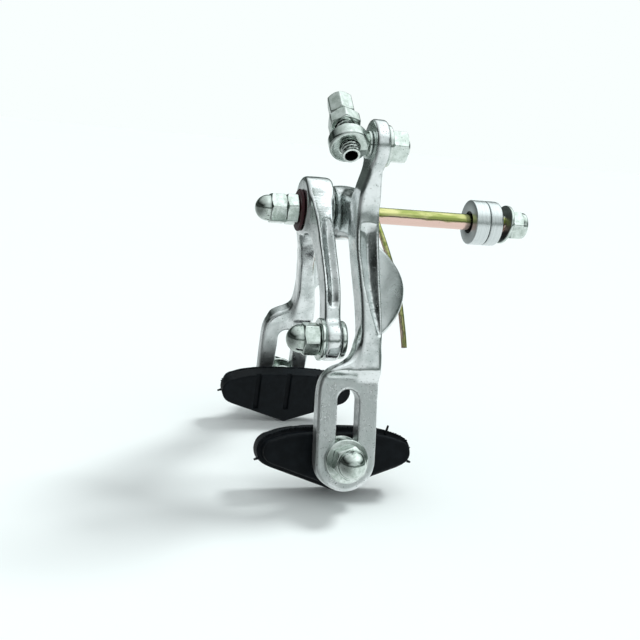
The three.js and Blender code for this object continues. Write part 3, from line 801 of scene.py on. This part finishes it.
def flashTree():
    tree, given = newTree("mouldFlash", [("Spacing", "Float", 0.8 * mm), ("Height", "Float", 0.5 * mm),
                                         ("Width", "Float", 0.5 * mm), ("Seed", "Int", 7)])
    points = addNode(tree, "GeometryNodeCurveToPoints",
                     {"Curve": given["Geometry"], "Length": given["Spacing"]}, mode="LENGTH")
    chip = addNode(tree, "GeometryNodeMeshIcoSphere", {"Radius": given["Width"], "Subdivisions": 1})
    low = addNode(tree, "FunctionNodeRandomValue", {2: 0.35, 3: 1.0, "Seed": given["Seed"]})
    tall = mathOf(tree, "DIVIDE", given["Height"], given["Width"])
    size = addNode(tree, "ShaderNodeCombineXYZ",
                   {0: mathOf(tree, "MULTIPLY", low.outputs[1], 1.3), 1: 0.55,
                    2: mathOf(tree, "MULTIPLY", low.outputs[1], tall)})
    spun = addNode(tree, "FunctionNodeRandomValue", {2: -0.5, 3: 0.5, "Seed": given["Seed"]})
    turn = addNode(tree, "ShaderNodeCombineXYZ", {1: spun.outputs[1]})
    euler = addNode(tree, "FunctionNodeEulerToRotation", {0: turn.outputs[0]})
    placedChips = addNode(tree, "GeometryNodeInstanceOnPoints",
                          {"Points": points.outputs["Points"], "Instance": chip.outputs["Mesh"],
                           "Rotation": euler.outputs[0], "Scale": size.outputs[0]})
    return closeTree(tree, placedChips.outputs[0], given["Finish"])


# Round and hexagonal hardware, turned about the Y axis
def hexReach(angle, flats):
    offset = (angle % (tau / 6)) - tau / 12
    corner = flats / math.sqrt(3)
    return min(flats / 2 / math.cos(offset), corner * 0.983)


def ringAngles(flats):
    if not flats:
        return [tau * i / 64 for i in range(64)]
    marks = (0, 1.6, 4.5, 10, 18, 26, 34, 42, 50, 55.5, 58.4)
    return [math.radians(60 * k + m) for k in range(6) for m in marks]


def lathe(name, profile, flats=0.0, hexSpan=(0, 0), turn=0.0, sharp=32):
    angles = ringAngles(flats)
    points, faces = [], []
    for radius, y in profile:
        for angle in angles:
            inHex = flats and hexSpan[0] - 1e-6 <= y <= hexSpan[1] + 1e-6 and radius > flats / 2 - 0.6
            r = min(radius, hexReach(angle, flats)) if inHex else radius
            points.append((r * math.cos(angle + turn) * mm, y * mm, r * math.sin(angle + turn) * mm))
    count, rings = len(angles), len(profile)
    for i in range(rings):
        for j in range(count):
            a, b = i * count + j, i * count + (j + 1) % count
            c, d = ((i + 1) % rings) * count + (j + 1) % count, ((i + 1) % rings) * count + j
            faces.append((a, b, c, d))
    points, faces = weldedPoles(points, faces)
    return meshObject(name, points, faces, sharp)


def weldedPoles(points, faces):
    seen, order, kept = {}, [], []
    for p in points:
        key = tuple(round(v, 8) for v in p)
        seen.setdefault(key, len(seen))
        order.append(seen[key])
    for face in faces:
        ring = [order[i] for i in face]
        ring = [v for k, v in enumerate(ring) if v != ring[k - 1]]
        if len(set(ring)) == len(ring) >= 3:
            kept.append(ring)
    return list(seen), kept


def arcPoints(cr, cy, radius, start, end, count):
    out = []
    for i in range(count + 1):
        angle = math.radians(start + (end - start) * i / count)
        out.append((cr + radius * math.cos(angle), cy + radius * math.sin(angle)))
    return out


def roundRing(inner, outer, start, end, edge):
    bore = 0.15
    points = [(inner + bore, start)] + arcPoints(outer - edge, start + edge, edge, -90, 0, 4)
    points += arcPoints(outer - edge, end - edge, edge, 0, 90, 4)
    return points + [(inner + bore, end), (inner, end - bore), (inner, start + bore)]


def hexSide(flats, start, end, rise=0.62):
    low, high = flats / 2 - 0.15, flats / math.sqrt(3) + 0.1
    steps = 6
    first = [(low + (high - low) * i / steps, start + rise * (i / steps) ** 1.2) for i in range(steps + 1)]
    last = [(r, end - (y - start)) for r, y in reversed(first)]
    return first + last


hexNut = {"flats": 10.0, "hole": 3.05}


def nut(name, start, end, turn):
    flats, hole = hexNut["flats"], hexNut["hole"]
    profile = [(hole + 0.7, start)] + hexSide(flats, start, end) + [(hole + 0.7, end), (hole, end - 0.6)]
    return lathe(name, profile + [(hole, start + 0.6)], flats, (start, end), turn)


def capNut(name, seat, hexHeight, dome, turn):
    flats, hole, front = hexNut["flats"], hexNut["hole"], seat - hexHeight
    profile = [(3.7, seat)] + list(reversed(hexSide(flats, front, seat)))
    profile += [(dome + 0.35, front), (dome + 0.1, front - 0.12), (dome, front - 0.35)]
    profile += [(r, y - 0.5) for r, y in arcPoints(0, front, dome, 0, -90, 16)][1:]
    profile[-1] = (0.0, profile[-1][1])
    profile += [(0.0, front - 1.5), (hole, front - 1.5), (hole, seat - 0.6)]
    return lathe(name, profile, flats, (front, seat), turn)


def rod(name, radius, start, end, rows, edge=0.4):
    body = arcPoints(radius - edge, start + edge, edge, -90, 0, 3)
    body += [(radius, start + edge + (end - start - 2 * edge) * i / rows) for i in range(1, rows)]
    body += arcPoints(radius - edge, end - edge, edge, 0, 90, 3)
    return lathe(name, [(0.0, start)] + body + [(0.0, end)])


def turnedParts(tree):
    place = tree.nodes.new("GeometryNodeInputPosition").outputs[0]
    flat = vectorOf(tree, "MULTIPLY", place, (1, 0, 1))
    return partsOf(tree, place), flat, lengthOf(tree, flat)


# Moves the outer surface in or out from the axis
def closeTurned(tree, given, flat, radius, amount):
    shift = vectorOf(tree, "SCALE", vectorOf(tree, "NORMALIZE", flat), amount)
    outer = addNode(tree, "FunctionNodeCompare", {0: radius, 1: given["Root"]}, operation="GREATER_THAN")
    moved = addNode(tree, "GeometryNodeSetPosition",
                    {"Geometry": given["Geometry"], "Selection": outer.outputs[0], "Offset": shift})
    return closeTree(tree, moved.outputs[0], given["Finish"])


def threadTree():
    tree, given = newTree("cutThread", [("Start", "Float", 0.0), ("End", "Float", 0.01),
                                        ("Pitch", "Float", mm), ("Depth", "Float", 0.5 * mm),
                                        ("Root", "Float", 2.5 * mm)])
    part, flat, radius = turnedParts(tree)
    angle = mathOf(tree, "DIVIDE", mathOf(tree, "ARCTAN2", part[2], part[0]), tau)
    phase = mathOf(tree, "ADD", mathOf(tree, "DIVIDE", part[1], given["Pitch"]), angle)
    tooth = mathOf(tree, "PINGPONG", phase, 0.5)
    cutAway = mathOf(tree, "MINIMUM", mathOf(tree, "MULTIPLY", tooth, 2.6), 1.0)
    runIn = mathOf(tree, "ADD", given["Start"], given["Pitch"])
    runOut = mathOf(tree, "SUBTRACT", given["End"], mathOf(tree, "MULTIPLY", given["Pitch"], 0.6))
    after = spanOf(tree, part[1], given["Start"], runIn)
    before = spanOf(tree, part[1], runOut, given["End"], 1.0, 0.0)
    fade = mathOf(tree, "MULTIPLY", after, before)
    deep = mathOf(tree, "MULTIPLY", mathOf(tree, "MULTIPLY", cutAway, fade), given["Depth"])
    return closeTurned(tree, given, flat, radius, mathOf(tree, "MULTIPLY", deep, -1.0))


def latheMarksTree():
    tree, given = newTree("latheMarks", [("Depth", "Float", 0.05 * mm), ("Lines", "Float", 900.0),
                                         ("Root", "Float", 4.0 * mm), ("Seed", "Float", 3.0)])
    part, flat, radius = turnedParts(tree)
    at = mathOf(tree, "ADD", part[1], given["Seed"])
    line = addNode(tree, "ShaderNodeTexNoise", {"W": at, "Scale": given["Lines"], "Detail": 2.0},
                   noise_dimensions="1D")
    deep = mathOf(tree, "MULTIPLY", mathOf(tree, "SUBTRACT", line.outputs[0], 0.5), given["Depth"])
    return closeTurned(tree, given, flat, radius, deep)


def wireTree():
    tree, given = newTree("springWire", [("Radius", "Float", mm), ("Step", "Float", mm),
                                         ("Sides", "Int", 20)])
    even = addNode(tree, "GeometryNodeResampleCurve", {"Curve": given["Geometry"], "Length": given["Step"]},
                   mode="LENGTH")
    section = addNode(tree, "GeometryNodeCurvePrimitiveCircle",
                      {"Resolution": given["Sides"], "Radius": given["Radius"]})
    tube = addNode(tree, "GeometryNodeCurveToMesh",
                   {"Curve": even.outputs[0], "Profile Curve": section.outputs[0], "Fill Caps": True})
    smooth = addNode(tree, "GeometryNodeSetShadeSmooth", {"Geometry": tube.outputs[0]})
    return closeTree(tree, smooth.outputs[0], given["Finish"])


threads = threadTree()
latheMarks = latheMarksTree()
springWire = wireTree()
mouldFlash = flashTree()


def withThread(obj, start, end, pitch=1.0, depth=0.5, root=2.5, finish="white_zinc"):
    values = {"Start": start * mm, "End": end * mm, "Pitch": pitch * mm, "Depth": depth * mm,
              "Root": root * mm, "Finish": finishes[finish]}
    made = runTree(obj, threads, values)
    finishShading(made.data, 40)
    return made


def curveThrough(name, points):
    data = bpy.data.curves.new(name, "CURVE")
    data.dimensions = "3D"
    spline = data.splines.new("POLY")
    spline.points.add(len(points) - 1)
    for point, at in zip(spline.points, points):
        point.co = (at[0] * mm, at[1] * mm, at[2] * mm, 1.0)
    return linked(bpy.data.objects.new(name, data))


pieces = []


def keep(obj, body, node, slot="white_zinc"):
    obj.data.materials.clear()
    obj.data.materials.append(finishes[slot])
    pieces.append((obj, body, node, slot))


def addWasher(name, radius, start, end, edge, body, node, slot="white_zinc", matrix=Matrix.Identity(4)):
    keep(placed(lathe(name, roundRing(3.1, radius, start, end, edge)), matrix), body, node, slot)


# Pivot bolt and everything threaded on it
stack = {"boltFront": -39.4, "boltRear": 61.0, "boltRadius": 3.0, "bushingRadius": 8.3, "washerTilt": 10.5,
         "washers": [("fibreWasher", 7.5, -28.15, -27.1, 0.4, "front_washer", "maroon_fibre"),
                     ("middleWasher", 7.8, -16.8, -16.2, 0.2, "middle_washer", "white_zinc"),
                     ("rearPivotWasher", 7.8, -7.0, -6.2, 0.25, "rear_pivot_washer", "white_zinc")],
         "bushings": [("frontBushing", 37.9, 43.4, 0.45, "seat_bushing_front"),
                      ("rearBushing", 43.6, 48.8, 1.3, "seat_bushing_rear")]}


def buildStack():
    bolt = rod("pivotBolt", stack["boltRadius"], stack["boltFront"], stack["boltRear"], 200, 0.7)
    bolt = withThread(bolt, 46, 61.4, finish="yellow_zinc")
    keep(bolt, "pivot", "pivot_bolt", "yellow_zinc")
    keep(capNut("frontCapNut", -32.8, 5.6, 4.6, 0.2), "pivot", "front_cap_nut")
    keep(nut("frontLockNut", -32.6, -28.3, 0.3), "pivot", "front_lock_nut")
    for name, radius, start, end, edge, node, slot in stack["washers"]:
        addWasher(name, radius, start, end, edge, "pivot", node, slot)
    keep(buildSpringBlock(), "pivot", "spring_block", "turned_aluminium")
    buildSpring()
    for name, start, end, edge, node in stack["bushings"]:
        ring = lathe(name, bushingProfile(start, end, edge))
        ring = runTree(ring, latheMarks, {"Depth": 0.16 * mm, "Root": 4.2 * mm,
                                          "Finish": finishes["turned_aluminium"]})
        finishShading(ring.data, 40)
        # Painted shade in the bushing's bore
        keep(markPaintedShade(ring, 4.15), "seat_bushings", node, "turned_aluminium")
    buildTail()


def bushingProfile(start, end, edge):
    points = [(3.3, end - 0.3), (3.3, start + 0.9), (4.1, start + 0.05), (4.3, start)]
    radius, front, steps = stack["bushingRadius"], 0.4, 40
    points += arcPoints(radius - front, start + front, front, -90, 0, 4)
    points += [(radius, start + front + (end - start - front - edge) * i / steps) for i in range(1, steps)]
    return points + arcPoints(radius - edge, end - edge, edge, 0, 90, 6) + [(3.6, end)]


def buildTail():
    tilt = Matrix.Rotation(math.radians(stack["washerTilt"]), 4, Vector((-1, 0, 0.5)))
    washer = lathe("rearWasher", roundRing(3.15, 7.3, -0.55, 0.55, 0.3))
    # Painted shade on the front face of the tilted washer
    placed(markPaintedShade(washer, 7.02, -0.6, -0.3, 0.45), shiftY(51.9) @ tilt)
    keep(washer, "pivot", "rear_washer")
    profile = [(3.7, 53.8)] + hexSide(10.0, 53.8, 58.3)[:-2]
    profile += [(5.1, 58.2), (4.95, 58.4)] + arcPoints(4.1, 59.6, 0.75, 0, 90, 6)
    profile += [(3.95, 60.2), (3.85, 59.8), (3.85, 57.8), (3.05, 57.6), (3.05, 54.4)]
    tail = lathe("rearLockNut", profile, 10.0, (53.8, 58.35), 0.1)
    keep(tail, "pivot", "rear_lock_nut")
    insert = lathe("nylonInsert", roundRing(2.95, 3.8, 57.9, 59.6, 0.2))
    keep(insert, "pivot", "lock_nut_insert", "nylon")


def buildSpringBlock():
    low, voxel = (-9.5, -7, -9.5), 0.2
    x, y, z = gridOver(low, (9.5, 1, 9.5), voxel)
    block = barField(np.hypot(x, z), 8.4, y, -6, 0, 0.5)
    wire = np.hypot(y + 4.7, z - 5.6) - 1.25
    block = smoothMax(block, -np.minimum(wire, boxSection(y + 4.7, z - 8.5, 1.25, 2.9, 0.2)), 0.2)
    block = smoothMax(block, 3.1 - np.hypot(x, z), 0.3)
    return meshFromField("springBlock", block, low, voxel)


# Return spring: one wire over the bolt, its legs inside the ears
spring = {"radius": 1.0, "step": 0.6,
          "leftBend": ((-9, -4.6, 4), (-24.2, -8.4, -20)), "rightBend": ((9, -4.6, 4.5), (25, 1.6, -17)),
          "path": [(-28, -8.4, -34), (-26.4, -8.2, -27), (-24.2, -8.4, -20), (-21.4, -8.4, -13),
                   (-17.6, -7, -5), (-12.5, -5.0, 2.2), (-6, -4.6, 5.4), (0, -4.6, 5.6), (6, -4.6, 5.4),
                   (13, -4.5, 3.2), (18.6, -3.4, -2), (22, -1.2, -8.5), (25, 1.6, -17),
                   (27.8, 4, -26.5), (30, 5.6, -36), (31.2, 6.4, -42)]}


def buildSpring():
    path = splineThrough(spring["path"], 10)
    middle = int(np.argmin(np.abs(path[:, 0])))
    for word, arm, part, turns in (("left", "c_arm", path[middle::-1], spring["leftBend"]),
                                   ("right", "y_arm", path[middle:], spring["rightBend"])):
        wire = curveThrough(word + "SpringLeg", part)
        leg = runTree(wire, springWire, {"Radius": spring["radius"] * mm, "Step": spring["step"] * mm,
                                         "Finish": finishes["yellow_zinc"]})
        keep(leg, ("pivot", arm, *turns), "return_spring", "yellow_zinc")


# Cable anchor on the curved arm
anchor = {"x": 36.0, "z": -39.0, "front": -24.6, "rear": -19.1}


def buildAnchor():
    shift = Matrix.Translation((anchor["x"] * mm, 0, anchor["z"] * mm))
    front, rear = anchor["front"], anchor["rear"]
    profile = [(0, front - 7.2), (2.6, front - 7.2), (3.0, front - 6.8)]
    profile += [(3.0, front - 6.8 + 6.8 * i / 50) for i in range(1, 50)]
    profile += [(3.0, rear + 0.2)] + arcPoints(6.0, rear + 0.6, 0.4, -90, 0, 3)
    profile += arcPoints(5.5, rear + 1.1, 0.9, 0, 60, 4)
    profile += [(4.2, rear + 2.05), (2.0, rear + 2.2), (0, rear + 2.25)]
    bolt = lathe("anchorBolt", profile)
    bolt = withThread(bolt, front - 7, front + 1)
    keep(placed(bolt, shift), "cable_anchor", "anchor_bolt")
    addWasher("anchorWasher", 7.1, front - 1.3, front - 0.15, 0.35, "cable_anchor", "anchor_washer",
              matrix=shift)
    cap = capNut("anchorCapNut", front - 1.5, 5.4, 4.7, 0.0)
    keep(placed(cap, shift), "cable_anchor", "anchor_cap_nut")


# Cable adjuster: a swivelling eyebolt, with the hollow barrel through its eye
adjuster = {"x": 29.0, "z": 25.5, "eye": -19.9, "tilt": -51.0, "eyeRadius": 6.65, "eyeHalf": 2.5,
            "boss": -12.6, "rear": -7.9, "bore": 2.1, "pitch": 1.3, "flats": 8.0, "hexSpan": (13.2, 21.6)}


def buildEyebolt():
    low, voxel = (-8, -28, -8), 0.2
    x, y, z = gridOver(low, (8, 1.5, 8), voxel)
    half = adjuster["eyeHalf"]
    eye = barField(np.hypot(x, y - adjuster["eye"]), adjuster["eyeRadius"], z, -half, half, 1.0)
    shank = barField(np.hypot(x, z), 3.0, y, adjuster["eye"] + 3, 0.6, 0.5)
    collar = barField(np.hypot(x, z), 4.6, y, adjuster["eye"] + 6.1, adjuster["boss"] - 0.1, 0.3)
    body = smoothMin(smoothMin(eye, shank, 0.9), collar, 0.2)
    body = smoothMax(body, 3.15 - np.hypot(x, y - adjuster["eye"]), 0.3)
    return meshFromField("adjusterEyebolt", body, low, voxel)


def buildBarrel():
    rows, bore, flats = 150, adjuster["bore"], adjuster["flats"]
    low, high = adjuster["hexSpan"]
    profile = [(bore, -6.0), (bore + 0.12, -6.35)]
    profile += arcPoints(2.85, -6.2, 0.15, -90, 0, 3)
    profile += [(3.0, -6.0 + 19.0 * i / rows) for i in range(rows)]
    profile += hexSide(flats, low, high, 0.9)
    profile += [(3.0, high), (2.7, high - 0.3), (2.7, 17.2), (bore, 16.8)]
    barrel = lathe("adjusterBarrel", profile, flats, (low, high), 0.25)
    barrel = withThread(barrel, -6.6, 12.6, adjuster["pitch"], 0.68, 2.9)
    # Painted shade in the thread roots and the bore
    return markPaintedShade(barrel, 2.62, -6.1)


def buildAdjuster():
    turn = Matrix.Rotation(math.radians(adjuster["tilt"]), 4, "Y")
    swivel = Matrix.Translation((adjuster["x"] * mm, 0, adjuster["z"] * mm)) @ turn
    inEye = swivel @ shiftY(adjuster["eye"]) @ Matrix.Rotation(math.pi / 2, 4, "X")
    keep(placed(buildEyebolt(), swivel), "adjuster_eye", "adjuster_eyebolt")
    rear = adjuster["rear"]
    addWasher("eyeboltWasher", 6.9, rear + 0.2, rear + 1.6, 0.4, "adjuster_eye", "eyebolt_washer",
              matrix=swivel)
    back = nut("eyeboltNut", rear + 1.8, rear + 7.4, 0.25)
    keep(placed(back, swivel), "adjuster_eye", "eyebolt_nut")
    keep(placed(buildBarrel(), inEye), "adjuster_barrel", "adjuster_barrel")
    lock = nut("adjusterLockNut", 7.2, 11.6, 0.15)
    keep(placed(lock, inEye), "adjuster_lock_nut", "adjuster_lock_nut")


def buildPadSet(side, word):
    matrix = plateMatrix(side)
    inner = -plate["thick"]
    washers, body = word + "_pad_washers", word + "_pad"
    addWasher(word + "OuterWasher", 7.2, 0.15, 1.5, 0.45, washers, word + "_pad_outer_washer", matrix=matrix)
    addWasher(word + "InnerWasher", 7.4, inner - 1.5, inner - 0.2, 0.4, washers,
              word + "_pad_inner_washer", matrix=matrix)
    keep(buildPadBlock(word + "PadRubber", side), body, word + "_pad_rubber", "black_rubber")
    stud = withThread(rod(word + "PadStud", 3.0, inner - 9, 7.9, 60), inner, 8)
    keep(placed(stud, matrix), body, word + "_pad_stud")
    cap = capNut(word + "PadCapNut", -1.8, 5.0, 4.6, 0.35)
    flip = Matrix.Rotation(math.pi, 4, "X")
    keep(placed(cap, matrix @ flip), body, word + "_pad_cap_nut")
    buildFlash(side, word, matrix)


def buildFlash(side, word, matrix):
    outline = [p for p in padOutline() if p[1] < -2]
    path = [(a * 0.985, pad["step"] + 0.1, d) for a, d in outline]
    rim = curveThrough(word + "PadFlash", path)
    chips = runTree(rim, mouldFlash, {"Spacing": 0.9 * mm, "Height": 0.42 * mm, "Width": 0.5 * mm,
                                      "Seed": pad["flashSeed"] + side, "Finish": finishes["black_rubber"]})
    work = bmesh.new()
    work.from_mesh(chips.data)
    for a, d, lean, tall in pad["sprues"]:
        addSprue(work, a * side, d, lean * side, tall)
    work.to_mesh(chips.data)
    work.free()
    finishShading(chips.data, 50)
    keep(placed(chips, matrix), word + "_pad", None, "black_rubber")


def addSprue(work, a, d, lean, tall):
    place = Matrix.Translation((a * mm, pad["step"] * mm, d * mm))
    grow = Matrix.Translation((0, 0, tall * 0.4 * mm))
    turn = Matrix.Rotation(lean, 4, "Y") @ Matrix.Rotation(math.pi, 4, "X")
    bmesh.ops.create_cone(work, cap_ends=True, segments=10, radius1=0.5 * mm, radius2=0.34 * mm,
                          depth=tall * mm, matrix=place @ turn @ grow)


keep(buildArm(cableArm), "y_arm", "y_arm", "polished_aluminium")
keep(buildArm(curvedArm), "c_arm", "c_arm", "polished_aluminium")
print("caliper: arms cast")
buildStack()
buildAnchor()
buildAdjuster()
print("caliper: hardware fitted")
buildPadSet(1, "right")
buildPadSet(-1, "left")
print("caliper: pads fitted")

for obj, body, node, slot in pieces:
    if node:
        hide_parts(node)
    if isinstance(body, str):
        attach(obj, body)
    else:
        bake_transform(obj)


# Studio: pale floor, even room light and one soft sun
studio = {"floorHalf": 6.0, "floor": (0.83, 0.905, 0.90), "white": (0.947, 1.0, 0.992), "skyStrength": 1.0,
          "ambient": (0.71, 0.71, 0.715), "panel": (0.80, 0.86, 0.86), "sun": 2.0, "sunSpread": 0.26,
          "sunFrom": (-0.35, 0.6, 0.8),
          "bands": [(0.0, (0.88, 0.94, 0.94)), (0.45, (0.92, 0.98, 0.98)), (0.485, (0.46, 0.52, 0.51)),
                    (0.505, (0.035, 0.05, 0.045)), (0.54, (0.12, 0.15, 0.135)), (0.60, (0.20, 0.24, 0.225)),
                    (0.65, (0.015, 0.025, 0.02)), (0.71, (0.04, 0.055, 0.05)), (0.77, (0.50, 0.56, 0.55)),
                    (0.84, (1.2, 1.28, 1.28)), (1.0, (1.5, 1.58, 1.6))]}


def buildStage():
    low = cadBox[0][2]
    h = studio["floorHalf"]
    floor = meshObject("floor", [(-h, -h, low), (h, -h, low), (h, h, low), (-h, h, low)], [(0, 1, 2, 3)])
    material = bpy.data.materials.new("paleFloor")
    material.use_nodes = True
    tree = material.node_tree
    shader = tree.nodes["Principled BSDF"]
    shader.inputs["Roughness"].default_value = 0.7
    shader.inputs["Specular IOR Level"].default_value = 0.15
    place = tree.nodes.new("ShaderNodeTexCoord").outputs["Object"]
    cloud = noiseOf(tree, place, 3.0, 2.0)
    colour = mixOf(tree, cloud, studio["floor"], [1.01 * v for v in studio["floor"]])
    tree.links.new(colour, shader.inputs["Base Color"])
    floor.data.materials.append(material)
    floor.visible_glossy = False


# The room is seen only in reflections, the camera sees a plain pale surround
def buildWorld():
    world = bpy.data.worlds.new("studio")
    bpy.context.scene.world = world
    world.use_nodes = True
    tree = world.node_tree
    background = tree.nodes["Background"]
    direction = tree.nodes.new("ShaderNodeTexCoord").outputs["Generated"]
    parts = partsOf(tree, direction)
    clutter = noiseOf(tree, direction, 1.7, 3.0, 0.6)
    rise = mathOf(tree, "MULTIPLY_ADD", parts[2], 0.5, 0.5)
    rise = mathOf(tree, "MULTIPLY_ADD", mathOf(tree, "SUBTRACT", clutter, 0.5), 0.16, rise)
    ramp = addNode(tree, "ShaderNodeValToRGB", {0: rise})
    elements = ramp.color_ramp.elements
    while len(elements) < len(studio["bands"]):
        elements.new(0.5)
    for element, (at, colour) in zip(elements, studio["bands"]):
        element.position = at
        element.color = (*colour, 1.0)
    ahead = spanOf(tree, parts[0], 0.55, 0.8)
    above = spanOf(tree, rise, 0.575, 0.645)
    panel = mixOf(tree, mathOf(tree, "MULTIPLY", ahead, above), ramp.outputs[0], studio["panel"])
    room = vectorOf(tree, "SCALE", panel, spanOf(tree, parts[1], -0.85, 0.3, 0.24, 1.06))
    rays = tree.nodes.new("ShaderNodeLightPath").outputs
    seen = mixOf(tree, rays["Is Camera Ray"], studio["ambient"], studio["white"])
    tree.links.new(mixOf(tree, rays["Is Glossy Ray"], seen, room), background.inputs[0])
    background.inputs[1].default_value = studio["skyStrength"]


def addSun():
    data = bpy.data.lights.new("sun", "SUN")
    data.energy = studio["sun"]
    data.angle = studio["sunSpread"]
    light = linked(bpy.data.objects.new("sun", data))
    light.visible_glossy = False
    light.rotation_euler = Vector(studio["sunFrom"]).to_track_quat("Z", "Y").to_euler()


buildStage()
buildWorld()
addSun()
bpy.context.scene.view_settings.view_transform = "Standard"
print("caliper: studio lit")
